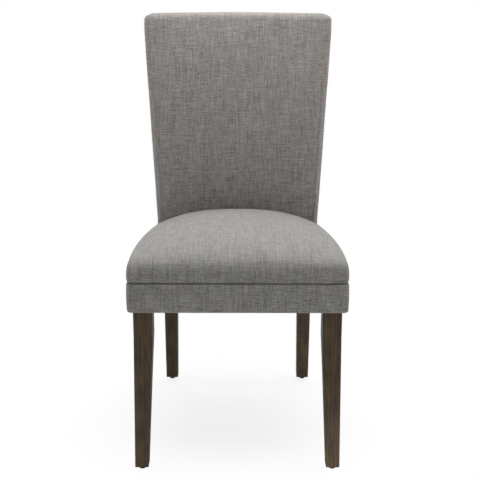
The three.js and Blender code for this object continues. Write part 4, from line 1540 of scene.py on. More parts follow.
    def rows(self, coarse: bool) -> Array:
        """The distances up the front's profile at which there is a row, from 0 at the bottom of each column.

        Args:
            coarse: True for the net that is simulated.

        Returns:
            The distances, rising.
        """
        top = self.profile_end
        if coarse:
            return np.concatenate([np.linspace(self.front_bottom, 970.0, 44), np.linspace(983.0, top, 5)])
        near = self.seam_level + np.array(self.near_seam[1:])
        near = near[near < top - 2.0]
        lower = np.linspace(self.front_bottom, self.drop_start, 20, endpoint=False)
        upper = np.linspace(self.drop_start, near[0], 72, endpoint=False)
        rest = np.linspace(near[-1], top, 6)[1:]
        return np.concatenate([lower, upper, near, rest])

    def column_offsets(self, rho: float, coarse: bool) -> Array:
        """The distances from the seam at which one level has its columns.

        Args:
            rho: The distance up the front's profile.
            coarse: True for the net that is simulated.

        Returns:
            The distances, rising toward the rear.
        """
        line, seam = self.outline(rho)
        end = lengths_along(line)[-1]
        near = (0.0,) if coarse else self.near_seam
        front_count, side_count = self.coarse_steps if coarse else self.fine_steps
        front = np.linspace(-seam, near[0], front_count, endpoint=False)
        if coarse:
            return np.concatenate([front, near, np.linspace(0.0, end - seam, side_count + 1)[1:]])
        last = end - seam - np.array(self.rear_columns)
        side = np.linspace(near[-1], last[0], side_count, endpoint=False)[1:]
        return np.concatenate([front, near, side, last])

    def seam_distance(self, rho: Array, offset: Array) -> Array:
        """How far a place is from the seam, which runs up the front edge and back over the top of the side.

        Args:
            rho: The distances up the front's profile.
            offset: The distances along the outline from the seam.

        Returns:
            The distances, below 0 in front of the seam.
        """
        up = self.seam_level - rho
        inside = (offset > 0) & (up > 0)
        outside = np.hypot(np.minimum(offset, 0.0), np.minimum(up, 0.0))
        return np.where(inside, np.minimum(offset, up), np.where(up > 0, -offset, outside))

    def half_net(self, coarse: bool) -> tuple[Array, Array, Array]:
        """The right half of the wall.

        Args:
            coarse: True for the net that is simulated.

        Returns:
            The points, the distances up the profile and the distances from the seam.
        """
        points, levels, offsets = [], [], []
        for rho in self.rows(coarse):
            columns = self.column_offsets(float(rho), coarse)
            away = (columns - self.slant_place) ** 2 + (rho - self.seam_level + self.slant_place) ** 2
            warp = (0.0 if coarse else self.slant) * np.exp(-away / self.slant_reach**2)
            inner = np.clip(1 - np.abs(columns) / abs(columns[0]), 0.0, 1.0) * (columns[-1] - columns > 1.0)
            warp = warp * inner * smooth_step(self.profile_end - rho, 0.0, 6.0)
            if warp.max() > self.least_slant:
                moved = [self.point(float(rho - w), np.array([column + w])) for column, w in zip(columns, warp)]
                points.append(np.concatenate(moved))
            else:
                points.append(self.point(float(rho), columns))
            levels.append(rho - warp)
            offsets.append(columns + warp)
        return np.stack(points), np.stack(levels), np.stack(offsets)

    def dropped(self, points: Array) -> Array:
        """Runs the sides and their front edges down to the frame's underside, past the seat.

        Args:
            points: The right half's points.

        Returns:
            The moved points.
        """
        z, low, high = points[..., 2], self.front_bottom, self.drop_start
        dropping = (np.abs(points[..., 0]) >= LINES.back_half_seat - self.drop_width) & (z < high)
        share = np.clip((high - z) / (high - low), 0.0, 1.0)
        below = np.where(dropping, z - share * (low - self.side_bottom), z)
        narrower = LINES.back_half(below) - LINES.back_half(z)
        front = LINES.post_front(below) - LINES.post_front(z)
        return points + np.stack([narrower, front, below - z], axis=-1)

    def wall(self, coarse: bool) -> tuple[Net, Array, Array]:
        """The whole wall from the left rear edge to the right rear edge, with its levels and seam distances.

        Args:
            coarse: True for the net that is simulated.

        Returns:
            The wall, and each point's distance up the profile and from the seam.
        """
        points, levels, offsets = self.half_net(coarse)
        points = self.dropped(points)
        halves = ((points[:, ::-1] * [-1, 1, 1], points), (levels[:, ::-1], levels), (offsets[:, ::-1], offsets))
        whole, level, offset = (np.concatenate([left, right[:, 1:]], axis=1) for left, right in halves)
        sign = np.sign(whole[..., 0])
        weave = np.stack([whole[..., 0] + sign * np.maximum(offset, 0.0), level], axis=-1)
        return Net(whole, weave), level, offset

    def cap(self, wall: Net, corner: int) -> Net:
        """The top, between the wall's last row and the rear edge.

        Args:
            wall: The wall.
            corner: The number of columns between each rear edge and its seam.

        Returns:
            The net, whose first row is the front.
        """
        ring = wall.points[-1]
        left, front, right = ring[: corner + 1][::-1], ring[corner:-corner], ring[-corner - 1 :]
        shares = lengths_along(front) / lengths_along(front)[-1]
        rear = ring[0] + (ring[-1] - ring[0]) * shares[:, None]
        net = coons(front, rear, left, right)
        x = net[..., 0]
        net[..., 2] = self.top_height(x, np.full_like(x, LINES.height), np.ones_like(x))
        weave = net[..., :2] + [0.0, LINES.height + self.cap_shift]
        return Net(net, weave)

    def pressed(self, wall: Net, cap: Net, level: Array, offset: Array, corner: int) -> None:
        """Adds the simulated swelling, the seams' grooves and slight unevenness.

        Args:
            wall: The fine wall.
            cap: The top.
            level: Each wall point's distance up the profile.
            offset: Each wall point's distance from the seam.
            corner: The number of columns between each rear edge and its seam.
        """
        coarse_wall = self.wall(True)[0]
        coarse_corner = self.coarse_steps[1]
        coarse_cap = self.cap(coarse_wall, coarse_corner)
        grips = [np.zeros(net.points.shape[:2]) for net in (coarse_wall, coarse_cap)]
        grips[0][0] = 1.0
        grips[0][:, [0, -1]] = 1.0
        grips[0][:, [coarse_corner, -coarse_corner - 1]] = self.seam_grip
        grips[1][-1] = 1.0
        moves = FabricSwell(self.swell_cap, self.start_inset).run([coarse_wall, coarse_cap], grips)

        def column_places(points: Array, seam: int) -> Array:
            """The places of a net's columns, with whole numbers at its rear edges and seams."""
            run = lengths_along(points[len(points) // 2])
            return np.interp(run, run[[0, seam, -1 - seam, -1]], [0.0, 1.0, 2.0, 3.0])

        coarse_columns = column_places(coarse_wall.points, coarse_corner)
        columns = column_places(wall.points, corner)
        wall_move = resampled(moves[0], self.rows(True), coarse_columns, self.rows(False), columns)
        ring = slice(coarse_corner, -coarse_corner)
        coarse_rows, cap_rows = (np.linspace(0.0, 1.0, len(net)) for net in (moves[1], cap.points))
        cap_move = resampled(moves[1], coarse_rows, coarse_columns[ring], cap_rows, columns[corner:-corner])
        normal = self.normals(wall.points)
        x, _, z = np.moveaxis(wall.points, -1, 0)
        distance = self.seam_distance(level, offset)
        to_rear = offset[:, -1:] - np.abs(offset)
        groove = -self.seam_depth * np.exp(-((distance / self.seam_width) ** 2))
        groove += self.seam_swell * np.exp(-(((np.abs(distance) - self.swell_place) / self.swell_width) ** 2))
        groove *= 1 - self.top_ease * smooth_step(level, *(LINES.height - below for below in self.ease_span))
        fade = smooth_step(to_rear, 0.0, 3.0)
        edge = self.rear_edge * roll_in(1.0, 1 - np.clip(to_rear / self.rear_round, 0.0, 1.0), 2) * (offset > 0)
        uneven = self.wave * ripples(x, z, self.wave_length, 1.1) * smooth_step(np.abs(distance), 2.0, 30.0)
        lift = (groove + uneven) * fade - edge
        wall.points = wall.points + wall_move + normal * lift[..., None]
        cap.points = cap.points + cap_move
        joined = wall.points[-1]
        cap.points[0] = joined[corner:-corner]
        cap.points[:, 0] = joined[: corner + 1][::-1]
        cap.points[:, -1] = joined[-corner - 1 :]

    @staticmethod
    def normals(points: Array) -> Array:
        """Unit directions out of a net, from its neighbours."""
        normal = np.cross(np.gradient(points, axis=1), np.gradient(points, axis=0))
        return normal / np.maximum(np.linalg.norm(normal, axis=-1, keepdims=True), 1e-9)

    def lining(self, wall: Array, corner: int) -> tuple[Array, Array]:
        """The walls and top of the room inside, with a point for each of the wall's.

        Args:
            wall: The outer wall's points.
            corner: The number of columns between each rear edge and its seam.

        Returns:
            The inner wall's points, and the rear edge of the inner top.
        """
        count = wall.shape[1]
        bottom, top = wall[0, :, 2], wall[-1, :, 2].max()
        z = bottom + (wall[..., 2] - bottom) * (self.room_top - bottom) / (top - bottom)
        z[-1] = self.room_top
        half = np.maximum(LINES.back_half(np.minimum(z, LINES.post_top)) - self.side_foam, LINES.half_rear + 0.6)
        front = LINES.post_front(np.maximum(z, self.side_bottom)) - self.room_front
        rear = LINES.post_rear(z) + self.rear_gap
        index = np.arange(count)
        to_rear = np.clip(np.maximum(corner - index, index - (count - 1 - corner)) / corner, 0.0, 1.0)
        across = np.clip(2 * (index - corner) / (count - 1 - 2 * corner) - 1, -1.0, 1.0)
        inner = np.stack([half * across, front + (rear - front) * to_rear, z], axis=-1)
        edge = np.linspace(inner[-1, 0], inner[-1, -1], count - 2 * corner)
        return inner, edge

    def skin(self) -> Skin:
        """Makes the surface of the front, sides and top, and of the room inside them.

        Returns:
            The closed surface.
        """
        wall, level, offset = self.wall(False)
        corner = int(np.argmin(np.abs(offset[0, : offset.shape[1] // 2])))
        cap = self.cap(wall, corner)
        inner_wall, rear_edge = self.lining(wall.points, corner)
        self.pressed(wall, cap, level, offset, corner)
        skin = Skin()
        seam_row = int(np.argmin(np.abs(self.rows(False) - self.seam_level)))
        boxed = wall.weave + self.weave_shift
        last = wall.points.shape[1] - 1
        for columns, weave in (
            (slice(0, corner + 1), boxed),
            (slice(corner, last - corner + 1), wall.weave),
            (slice(last - corner, last + 1), boxed),
        ):
            skin.add(wall.points[: seam_row + 1, columns], weave[: seam_row + 1, columns])
        skin.add(wall.points[seam_row:], wall.weave[seam_row:])
        skin.nets.append(cap)
        ring = inner_wall[-1]
        inner_cap = coons(ring[corner:-corner], rear_edge, ring[: corner + 1][::-1], ring[-corner - 1 :])
        skin.add(inner_wall, flipped=True)
        skin.add(inner_cap, flipped=True)
        for outer, inner in (
            (wall.points[0], inner_wall[0]),
            (wall.points[:, 0], inner_wall[:, 0]),
            (wall.points[:, -1], inner_wall[:, -1]),
            (cap.points[-1], inner_cap[-1]),
        ):
            skin.add(np.stack([outer, inner]))
        return skin


@dataclass
class OutsideBack(PaddedPiece):
    """The padded panel that closes the rear of the back."""

    name = "outside_back"
    stands_for = ("outside_back_cover", "outside_back_padding")
    fill = 0.9

    bottom: float = LINES.band_bottom
    front_gap: float = 0.6
    edge_radius: float = 4.6
    top_roll: float = 15.0
    corner_width: float = 27.0
    corner_height: float = 15.0
    corner_power: float = 2.15
    top_crown: float = 1.5
    top: float = 1001.6
    top_fall: float = 2.4
    bottom_inset: float = 4.0
    side_end: float = 0.45
    front_edge: tuple[tuple[float, float], ...] = ((1.0, 0.0), (0.3, 0.35), (0.0, 1.0))
    bulge: float = 1.6
    wave: float = 0.35
    wave_length: float = 240.0
    swell_cap: float = 1.4
    coarse_steps: tuple[int, int] = (30, 42)
    fine_steps: tuple[int, int] = (61, 96)
    closer_ends: float = 0.25
    weave_shift: tuple[float, float] = (1500.0, 600.0)

    def outline(self, side: Side, shares: Array, inset: float = 0.0) -> Array:
        """One side of the panel's outline, seen from the rear but with x to the chair's right.

        Args:
            side: FRONT for the bottom edge, REAR for the top, RIGHT and LEFT for the sides.
            shares: The places along it, counter-clockwise.
            inset: How far in from the edge.

        Returns:
            An array of x and z.
        """
        low = self.bottom + min(inset, self.bottom_inset)
        corner_z = self.top - self.corner_height * self.side_end - inset
        if side is Side.FRONT:
            half = float(LINES.back_half(self.bottom)) - inset
            return np.stack([-half + 2 * half * shares, np.full_like(shares, low)], -1)
        if side in (Side.RIGHT, Side.LEFT):
            sign, up = (1, shares) if side is Side.RIGHT else (-1, 1 - shares)
            z = low + (corner_z - low) * up
            return np.stack([sign * (LINES.back_half(z) - self.corner_in(z) - inset), z], -1)
        half = float(LINES.back_half(corner_z) - self.corner_in(corner_z)) - inset
        turn = (shares - 0.5) * 2
        x = -np.sign(turn) * half * np.abs(turn)
        z = self.top_at(np.abs(x) + inset) - inset
        ends = np.abs(turn) > 1 - 1e-9
        return np.stack([x, np.where(ends, corner_z, np.maximum(z, corner_z))], -1)

    def corner_in(self, z: Numbers) -> Array:
        """How far the rounded top corner has come in at one height."""
        share = (z - self.top + self.corner_height) / self.corner_height
        return roll_in(self.corner_width, share, self.corner_power)

    def top_at(self, x: Array) -> Array:
        """The height of the panel's top edge at a distance from the middle.

        Args:
            x: The distance.

        Returns:
            The height.
        """
        half = float(LINES.back_half(self.top))
        drop = roll_in(self.corner_height, (x - half + self.corner_width) / self.corner_width, self.corner_power)
        return self.top - drop - self.top_crown * (x / half) ** 2

    def places(self, coarse: bool) -> dict[Side, Array]:
        """The places along each side.

        Args:
            coarse: True for the net that is simulated.

        Returns:
            The shares for each side.
        """
        across, up = (np.linspace(0, 1, count) for count in (self.coarse_steps if coarse else self.fine_steps))
        if not coarse:
            across += self.closer_ends * (0.5 - 0.5 * np.cos(across * math.pi) - across)
        return dict(zip(Side, [across, up] * 2))

    def ring(self, inset: float, offset: float, places: dict[Side, Array]) -> dict[Side, Array]:
        """The panel's outline at an inset, lying at a distance behind the posts.

        Args:
            inset: How far in from the edge.
            offset: The distance behind the posts.
            places: The places along each side.

        Returns:
            The points of each side.
        """
        ring = {}
        for side, shares in places.items():
            flat = self.outline(side, shares, inset)
            y = LINES.post_rear(flat[:, 1]) + offset
            ring[side] = np.stack([flat[:, 0], y, flat[:, 1]], axis=-1)
        order = list(Side)
        for one, two in zip(order, order[1:] + order[:1]):
            ring[two][0] = ring[one][-1]
        return ring

    def skin(self) -> Skin:
        """Makes the panel's surface.

        Returns:
            The closed surface.
        """
        places = self.places(False)
        depth = LINES.rear_layer - self.front_gap
        start = self.front_edge[-1][1]
        steps = [
            *self.front_edge,
            *((self.edge_radius * (1 - math.cos(a)), start + (depth - start) * math.sin(a))
              for a in np.linspace(0, QUARTER, 7)[1:]),
        ]
        rings = [self.ring(inset, self.front_gap + behind, places) for inset, behind in steps]
        rim = np.stack([around(ring) for ring in rings])
        rear = filled(rings[-1])
        coarse = filled(self.ring(self.edge_radius, LINES.rear_layer, self.places(True)))
        grip = np.zeros(coarse.shape[:2])
        grip[[0, -1]] = grip[:, [0, -1]] = 1.0
        move = FabricSwell(self.swell_cap).run([Net(coarse, coarse[..., :2], True)], [grip])[0]
        even = [np.linspace(0, 1, count) for count in coarse.shape[:2]]
        rear += resampled(move, *even, places[Side.RIGHT], places[Side.FRONT])
        x, z = rear[..., 0], rear[..., 2]
        u = np.clip(np.abs(x) / LINES.back_half(z), 0, 1)
        v = np.clip(2 * (z - self.bottom) / (self.top - self.bottom) - 1, -1, 1)
        hold = (1 - u**4) * (1 - v**8)
        rear[..., 1] += hold * (self.bulge + self.wave * ripples(x, z, self.wave_length, 0.4))
        rear[..., 1] -= self.top_fall * smooth_step(z, self.top - self.top_roll, self.top)
        rim[-1] = around(dict(zip(Side, (rear[0], rear[:, -1], rear[-1][::-1], rear[:, 0][::-1]))))
        skin = Skin()
        for points in (rim, rear):
            skin.add(points, points[..., [0, 2]] + self.weave_shift)
        skin.add(filled(rings[0]), flipped=True)
        return skin


# Under the seat


@dataclass
class DustCloth:
    """The dust cloth, cut round the legs and stapled to the rails, sagging a little between them."""

    top: float = 372.1
    thickness: float = 0.7
    inset: float = 8.6
    corner_radius: float = 12.0
    sag: float = 3.5
    rear_margin: float = 3.5
    grid: float = 13.0
    notch_gap: float = 0.6
    free_margin: float = 22.0
    scallop: float = 0.8
    scallop_length: float = 160.0
    staple_front: float = 22.6
    staple_rear: float = 11.0
    staple_side: float = 10.0
    staple_legs: float = 12.0
    staple_ends: tuple[float, float] = (14.0, 16.0)

    def outline(self) -> Array:
        """The cut's outline in plan, counter-clockwise.

        Returns:
            The points, evenly spaced along each edge.
        """
        wide = float(LINES.band_outer(0.0))
        rear = float(LINES.post_rear(LINES.band_bottom)) - self.rear_margin
        gap = self.notch_gap
        leg_inner, leg_rear = LINES.half_front - LINES.leg_size - gap, LINES.frame_front + LINES.leg_size + gap
        post_inner, post_front = LINES.half_rear - LINES.post_width - gap, LINES.post_front_seat - gap

        def edge(y: float) -> float:
            """Half the cut's width at one depth."""
            return (wide - self.inset) * float(LINES.band_outer(y)) / wide

        right = [(leg_inner, self.inset), (leg_inner, leg_rear), (edge(leg_rear), leg_rear)]
        right += [(edge(post_front), post_front), (post_inner, post_front), (post_inner, rear)]
        left = [(-x, y) for x, y in reversed(right)]
        points, dense = right + left, []
        for start, end in zip(points, points[1:] + points[:1]):
            start, end = np.array(start), np.array(end)
            steps = max(int(np.linalg.norm(end - start) // self.grid), 1)
            dense += [start + (end - start) * step / steps for step in range(steps)]
        return np.array(dense)

    def area(self) -> float:
        """The cut's flat area, in square millimetres."""
        x, y = self.outline().T
        return 0.5 * abs(float(np.dot(x, np.roll(y, -1)) - np.dot(y, np.roll(x, -1))))

    def height(self, x: Array, y: Array) -> Array:
        """The cloth's underside, with its sag and the slight scallops that the staples leave.

        Args:
            x: The places across.
            y: The places in depth.

        Returns:
            The height at each place.
        """
        depth = float(LINES.post_rear(LINES.band_bottom)) - self.inset
        u = np.clip(np.abs(x) / (LINES.rail_outer(y) - self.free_margin), 0.0, 1.0)
        v = np.clip(np.abs(2 * (y - self.inset) / depth - 1) * 1.06, 0.0, 1.0)
        free = (1 - u**2.2) * (1 - v**2.2)
        return self.top - self.thickness - free * (self.sag + self.scallop * ripples(x, y, self.scallop_length, 0.9))

    def build(self, material: Material) -> Object:
        """Makes the cloth.

        Args:
            material: The dust cloth's finish.

        Returns:
            The finished piece.
        """
        edge = self.outline()
        count = len(edge)
        low, high = edge.min(0), edge.max(0)
        xs = np.arange(low[0] + self.grid, high[0], self.grid)
        ys = np.arange(low[1] + self.grid, high[1], self.grid)
        inner = np.stack(np.meshgrid(xs, ys), -1).reshape(-1, 2)
        distance = np.min(np.linalg.norm(inner[:, None] - edge[None], axis=-1), axis=1)
        inner = inner[distance > self.grid * 0.55]
        flat = np.concatenate([edge, inner])
        ring = [(index, (index + 1) % count) for index in range(count)]
        points, _, faces, *_ = delaunay_2d_cdt([Vector(p) for p in flat], ring, [list(range(count))], 1, 1e-5)
        plan = np.array([tuple(p) for p in points])
        under = np.column_stack([plan, self.height(plan[:, 0], plan[:, 1])])
        above = under + [0.0, 0.0, self.thickness]
        number = len(plan)
        shaped = bmesh.new()
        verts = [shaped.verts.new(p) for p in in_row_frame(np.concatenate([under, above]))]
        quads, edges = [], set()
        for a, b, c in faces:
            if np.cross(plan[b] - plan[a], plan[c] - plan[a]) <= 0:
                b, c = c, b
            quads += [(a, c, b), (a + number, b + number, c + number)]
            edges |= {(a, b), (b, c), (c, a)}
        quads += [(a, b, b + number, a + number) for a, b in sorted(edges) if (b, a) not in edges]
        for quad in quads:
            shaped.faces.new([verts[index] for index in quad])
        loose = [vertex for vertex in shaped.verts if not vertex.link_faces]
        bmesh.ops.delete(shaped, geom=loose, context="VERTS")
        bmesh.ops.recalc_face_normals(shaped, faces=shaped.faces)
        cloth = shaped.loops.layers.uv.new(WEAVE_MAP)
        for face in shaped.faces:
            for corner in face.loops:
                corner[cloth].uv = corner.vert.co.xy
        mesh = bpy.data.meshes.new("dust_sheet")
        shaped.to_mesh(mesh)
        shaped.free()
        mesh.shade_smooth()
        piece = linked("dust_sheet", mesh)
        settle(piece, material, Slot.DUST_CLOTH, "dust_cloth")
        width, depth = (high - low) * METRES
        self.area() * METRES**2
        return piece

    def staple_lines(self) -> list[Array]:
        """The lines that the staples follow, one along each rail.

        Returns:
            The two ends of each line.
        """
        z = self.top - self.thickness
        rear = float(LINES.post_rear(LINES.band_bottom)) - self.staple_rear
        inner_front = LINES.half_front - LINES.leg_size - self.staple_legs
        inner_rear = LINES.half_rear - LINES.post_width - self.staple_legs
        low = LINES.frame_front + LINES.leg_size + self.staple_ends[0]
        high = LINES.post_front_seat - self.staple_ends[1]
        ends = ((inner_front, self.staple_front), (inner_rear, rear))
        lines = [[(sign * x, y, z) for sign in (-1, 1)] for x, y in ends]
        for sign in (-1, 1):
            lines.append([(sign * (float(LINES.rail_outer(y)) - self.staple_side), y, z) for y in (low, high)])
        return [np.array(line) for line in lines]


class GeometryBoard(NodeBoard):
    """A geometry node group with named inputs."""

    def __init__(self, name: str, sizes: dict[str, float]) -> None:
        """Starts a group whose inputs are a geometry and named sizes.

        Args:
            name: The group's name.
            sizes: The name and value of each size.
        """
        group = bpy.data.node_groups.new(name, "GeometryNodeTree")
        group.interface.new_socket("Geometry", in_out="INPUT", socket_type="NodeSocketGeometry")
        for size, value in sizes.items():
            socket = group.interface.new_socket(size, in_out="INPUT", socket_type="NodeSocketFloat")
            socket.default_value = value
        group.interface.new_socket("Geometry", in_out="OUTPUT", socket_type="NodeSocketGeometry")
        super().__init__(group)
        self.sizes = sizes
        self.entry = group.nodes.new("NodeGroupInput")

    def given(self, name: str) -> Signal:
        """A named input."""
        return Signal(self, self.entry.outputs[name])

    def end(self, geometry: Signal, material: Material) -> None:
        """Realizes the instances, sets their material and closes the group.

        Args:
            geometry: What the group has set out.
            material: Its finish.
        """
        real = self.node("GeometryNodeRealizeInstances", {0: geometry})
        dressed = self.node("GeometryNodeSetMaterial", {"Geometry": real, "Material": material})
        self.node("NodeGroupOutput", {0: dressed})

    def made_on(self, name: str, mesh: bpy.types.Mesh) -> Object:
        """Runs the group on a mesh and keeps what it makes.

        Args:
            name: The finished object's name.
            mesh: The lines or faces that the group works on.

        Returns:
            A plain object, whose mesh holds all that was set out.
        """
        base = linked(mesh.name, mesh)
        modifier = base.modifiers.new("set_out", "NODES")
        modifier.node_group = self.tree
        for socket in self.tree.interface.items_tree:
            if socket.name in self.sizes and socket.in_out == "INPUT":
                modifier[socket.identifier] = self.sizes[socket.name]
        graph = bpy.context.evaluated_depsgraph_get()
        real = bpy.data.meshes.new_from_object(base.evaluated_get(graph), depsgraph=graph)
        base.modifiers.remove(modifier)
        bpy.data.objects.remove(base)
        real.name = name
        real.shade_smooth()
        return linked(name, real)


@dataclass
class WireStaples:
    """Bent wire staples set at even steps along lines."""

    name: str
    step: float = 34.0
    width: float = 10.5
    thickness: float = 0.9
    stand: float = 0.35
    bow: float = 1.1
    bend_steps: int = 8
    wire_sides: int = 6

    def board(self, material: Material) -> GeometryBoard:
        """Makes the group that sets one staple at each step of a line, crown outward.

        Args:
            material: The wire's finish.

        Returns:
            The finished group.
        """
        sizes = {"Step": self.step, "Width": self.width, "Thickness": self.thickness, "Stand": self.stand}
        board = GeometryBoard("staples_along_line", {size: value * METRES for size, value in sizes.items()})
        half, stand = board.given("Width") * 0.5, board.given("Stand")

        def corner(side: float, height: float) -> Signal:
            """A point of the wire, at one side and at a share of its stand."""
            return board.node("ShaderNodeCombineXYZ", {0: half * side, 2: stand * height})

        bend = {
            "Start": corner(-1, -1), "Start Handle": corner(-1, self.bow), "End Handle": corner(1, self.bow),
            "End": corner(1, -1), "Resolution": self.bend_steps,
        }
        section = {"Resolution": self.wire_sides, "Radius": board.given("Thickness") * 0.5}
        wire = board.node("GeometryNodeCurveToMesh", {
            "Curve": board.node("GeometryNodeCurvePrimitiveBezierSegment", bend),
            "Profile Curve": board.node("GeometryNodeCurvePrimitiveCircle", section),
            "Fill Caps": True,
        })
        line = board.node("GeometryNodeMeshToCurve", {"Mesh": board.given("Geometry")})
        places = board.node(
            "GeometryNodeResampleCurve", {"Curve": line, "Length": board.given("Step")}, {"mode": "LENGTH"}
        )
        outward = board.node("GeometryNodeInputNamedAttribute", {"Name": "outward"}, {"data_type": "FLOAT_VECTOR"})
        upright = board.node("FunctionNodeAlignRotationToVector", {"Vector": outward}, {"axis": "Z"})
        turned = board.node(
            "FunctionNodeAlignRotationToVector",
            {"Rotation": upright, "Vector": board.node("GeometryNodeInputTangent")},
            {"axis": "X", "pivot_axis": "Z"},
        )
        board.end(
            board.node("GeometryNodeInstanceOnPoints", {"Points": places, "Instance": wire, "Rotation": turned}),
            material,
        )
        return board

    def build(self, lines: list[Array], outward: tuple[float, float, float], material: Material) -> Object:
        """Sets the staples along lines.

        Args:
            lines: The lines, in millimetres.
            outward: The direction away from what the staples hold.
            material: Their finish.

        Returns:
            The finished piece.
        """
        points, edges = [], []
        for line in lines:
            edges += [(len(points) + index, len(points) + index + 1) for index in range(len(line) - 1)]
            points += in_row_frame(line).tolist()
        mesh = bpy.data.meshes.new(f"{self.name}_lines")
        mesh.from_pydata(points, edges, [])
        facing = mesh.attributes.new("outward", "FLOAT_VECTOR", "POINT")
        facing.data.foreach_set("vector", list(outward) * len(points))
        piece = self.board(material).made_on(self.name, mesh)
        return settle(piece, material, Slot.STEEL)


# The CAD frame's finishes


@dataclass
class FrameDresser:
    """Gives every CAD node that is kept the procedural finish of its slot."""

    finishes: dict[str, Material]

    def dress(self) -> None:
        """Assigns the materials."""
        record = frame["record"]
        slots = {entry["slot"] for entry in record.get("materials", [])}
        missing = slots - set(self.finishes)
        if missing:
            log.warning("no finish for %s", sorted(missing))
        for name, node in frame["nodes"].items():
            for place in node.material_slots:
                old = place.material.name.split(".")[0] if place.material else ""
                place.material = self.finishes.get(old, self.finishes["frame_wood"])
            log.info("%s: %s", name, ", ".join(place.material.name for place in node.material_slots))


# Studio


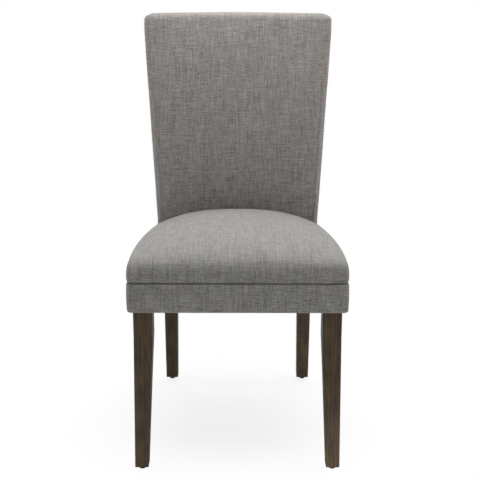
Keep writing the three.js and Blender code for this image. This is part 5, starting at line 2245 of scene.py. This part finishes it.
@dataclass
class Studio:
    """The camera, the pale floor and the soft light."""

    lens: float = 64.03
    camera_place: tuple[float, float, float] = (-0.0025, -2.0264, 0.9524)
    pitch: float = 13.64
    turn: float = -0.235
    roll: float = 0.15
    reach: float = 60.0
    ambient: float = 0.02
    lamps: tuple[tuple, ...] = (
        ("overhead_box", 177.0, (4.0, 4.0), (0.35, -0.1, 4.5), (0.0, -0.1, 0.0)),
        ("rear_box", 11.0, (1.6, 0.8), (0.0, 0.9, 2.1), (0.0, 0.1, 0.9)),
        ("low_front_fill", 2.7, (2.4, 0.5), (0.0, -2.6, 0.35), (0.0, 0.0, 0.4)),
        ("top_strip", 1.35, (0.9, 0.35), (0.0, -0.1, 1.35), (0.0, 0.2, 0.9)),
        ("foot_light", 0.17, (0.8, 0.05), (0.22, -0.9, 0.045), (0.22, -0.27, 0.025), 32.0),
        ("left_fill", 10.0, (0.8, 1.6), (-2.0, 0.42, 1.1), (0.0, 0.15, 0.7)),
        ("right_fill", 10.0, (0.8, 1.6), (2.0, 0.42, 1.1), (0.0, 0.15, 0.7)),
    )
    floor_half: float = 12.0
    floor_level: float = -0.0004
    floor_albedo: float = 0.97
    # a floor glow below white makes the painted grey shade patch near the chair
    floor_glow: float = 0.83
    floor_lit: float = 0.19
    painted_shade_middle: float = 0.05
    painted_shade_depth: float = 1.35
    painted_shade_fade: tuple[float, float] = (0.22, 0.62)

    def camera(self) -> None:
        """Makes the camera at the photograph's viewing angle."""
        data = bpy.data.cameras.new("studio_camera")
        data.lens = self.lens
        data.sensor_width = CAMERA_SENSOR
        data.clip_end = self.reach
        camera = linked("studio_camera", data)
        tilt = Matrix.Rotation(math.radians(90 - self.pitch), 4, "X")
        turn, roll = (Matrix.Rotation(math.radians(angle), 4, "Z") for angle in (self.turn, self.roll))
        camera.matrix_world = Matrix.Translation(self.camera_place) @ turn @ tilt @ roll
        bpy.context.scene.camera = camera

    def lamp(self, name: str, power: float, size: tuple[float, float], place: tuple[float, float, float],
             target: tuple[float, float, float], spread: float = 180.0) -> None:
        """Adds one soft box.

        Args:
            name: The lamp's name.
            power: Its power in watts.
            size: Its width and height.
            place: Where it hangs.
            target: Where it points.
            spread: The full angle of its beam, in degrees.
        """
        data = bpy.data.lights.new(name, "AREA")
        data.shape = "RECTANGLE"
        data.size, data.size_y = size
        data.energy = power
        data.spread = math.radians(spread)
        lamp = linked(name, data)
        lamp.location = place
        lamp.rotation_euler = (Vector(target) - Vector(place)).to_track_quat("-Z", "Y").to_euler()
        lamp.visible_camera = False

    def world(self) -> None:
        """Makes an even surround that the camera and reflections see as white."""
        world = bpy.data.worlds.new("studio_surround")
        world.use_nodes = True
        bpy.context.scene.world = world
        board = NodeBoard(world.node_tree)
        board.tree.nodes.clear()
        path = board.node("ShaderNodeLightPath", output="Is Camera Ray")
        seen = path.apply("MAXIMUM", path.of("Is Glossy Ray").apply("MAXIMUM", path.of("Is Transmission Ray")))
        even = board.node("ShaderNodeBackground", {"Color": WHITE, "Strength": self.ambient})
        white = board.node("ShaderNodeBackground", {"Color": WHITE, "Strength": 1.0})
        mixed = board.node("ShaderNodeMixShader", {0: seen, 1: even, 2: white})
        board.node("ShaderNodeOutputWorld", {"Surface": mixed})

    def floor(self) -> None:
        """Makes the white floor: near the chair it keeps the chair's real soft shadow on a painted grey shade patch,
        which fades to white further out.
        """
        mesh = bpy.data.meshes.new("studio_floor")
        corners = [(x * self.floor_half, y * self.floor_half, self.floor_level)
                   for x, y in ((-1, -1), (1, -1), (1, 1), (-1, 1))]
        mesh.from_pydata(corners, [], [(0, 1, 2, 3)])
        floor = linked("studio_floor", mesh)
        board = MaterialBoard("studio_white")
        path = board.node("ShaderNodeLightPath", output="Is Camera Ray")
        x, y, _ = board.axes(board.node("ShaderNodeTexCoord", output="Object"))
        # painted shade: an oval patch round the chair glows below white, so it is greyer even where no shadow falls,
        # and it fades to pure white further out
        deep = (y - self.painted_shade_middle) * self.painted_shade_depth
        far = (x * x + deep * deep).apply("SQRT").ramp(*self.painted_shade_fade)
        glow = board.node("ShaderNodeEmission", {"Color": WHITE, "Strength": self.floor_glow})
        lit = self.floor_lit
        skin = board.node("ShaderNodeBsdfDiffuse", {"Color": (lit, lit, lit, 1.0)})
        near = board.node("ShaderNodeAddShader", {0: glow, 1: skin})
        white = board.node("ShaderNodeEmission", {"Color": WHITE, "Strength": 1.0})
        seen = board.node("ShaderNodeMixShader", {0: far, 1: near, 2: white})
        plain = self.floor_albedo
        bounce = board.node("ShaderNodeBsdfDiffuse", {"Color": (plain, plain, plain, 1.0)})
        above = board.node("ShaderNodeMixShader", {0: path, 1: bounce, 2: seen})
        below = board.node("ShaderNodeNewGeometry", output="Backfacing")
        clear = board.node("ShaderNodeBsdfTransparent")
        board.node(
            "ShaderNodeOutputMaterial",
            {"Surface": board.node("ShaderNodeMixShader", {0: below, 1: above, 2: clear})},
        )
        mesh.materials.append(board.material)

    def build(self) -> None:
        """Sets up the whole studio."""
        bpy.context.scene.view_settings.view_transform = "Standard"
        self.camera()
        self.world()
        self.floor()
        for lamp in self.lamps:
            self.lamp(*lamp)


def main() -> None:
    """Builds the chair's pieces in order and sets them in the studio."""
    logging.basicConfig(level=logging.INFO, format="%(levelname)s %(message)s")
    linen = LinenFinish().material()
    steel = MetalFinish().material()
    nonwoven = NonwovenFinish().material()
    finishes = {
        "stained_wood": WoodFinish(
            "espresso_stained_wood", (0.107, 0.0695, 0.0315), (0.029, 0.0195, 0.0112),
            pores=0.55, roughness=0.55, coat=0.04,
        ).material(),
        "frame_wood": WoodFinish(
            "bare_frame_wood", (0.62, 0.47, 0.31), (0.45, 0.31, 0.19),
            pores=0.35, roughness=0.62, coat=0.0, grain=Grain.ACROSS,
        ).material(),
        "plywood": PlywoodFinish().material(),
        "grey_fabric": linen,
        "foam": FoamFinish("cream_foam", (0.72, 0.66, 0.50), cell=1.3).material(),
        "wadding": FoamFinish("white_wadding", (0.78, 0.78, 0.76), cell=3.5).material(),
        "webbing": WebbingFinish().material(),
        "dust_cloth": nonwoven,
        "steel": steel,
        "glide_nylon": PlasticFinish().material(),
    }
    FrameDresser(finishes).dress()
    SeatCushion().build(linen)
    SeatBand().build(linen)
    InsideBack().build(linen)
    OutsideBack().build(linen)
    sheet = DustCloth()
    sheet.build(nonwoven)
    WireStaples("dust_cloth_staples").build(sheet.staple_lines(), (0.0, 0.0, -1.0), steel)
    Studio().build()


if __name__ == "__main__":
    main()
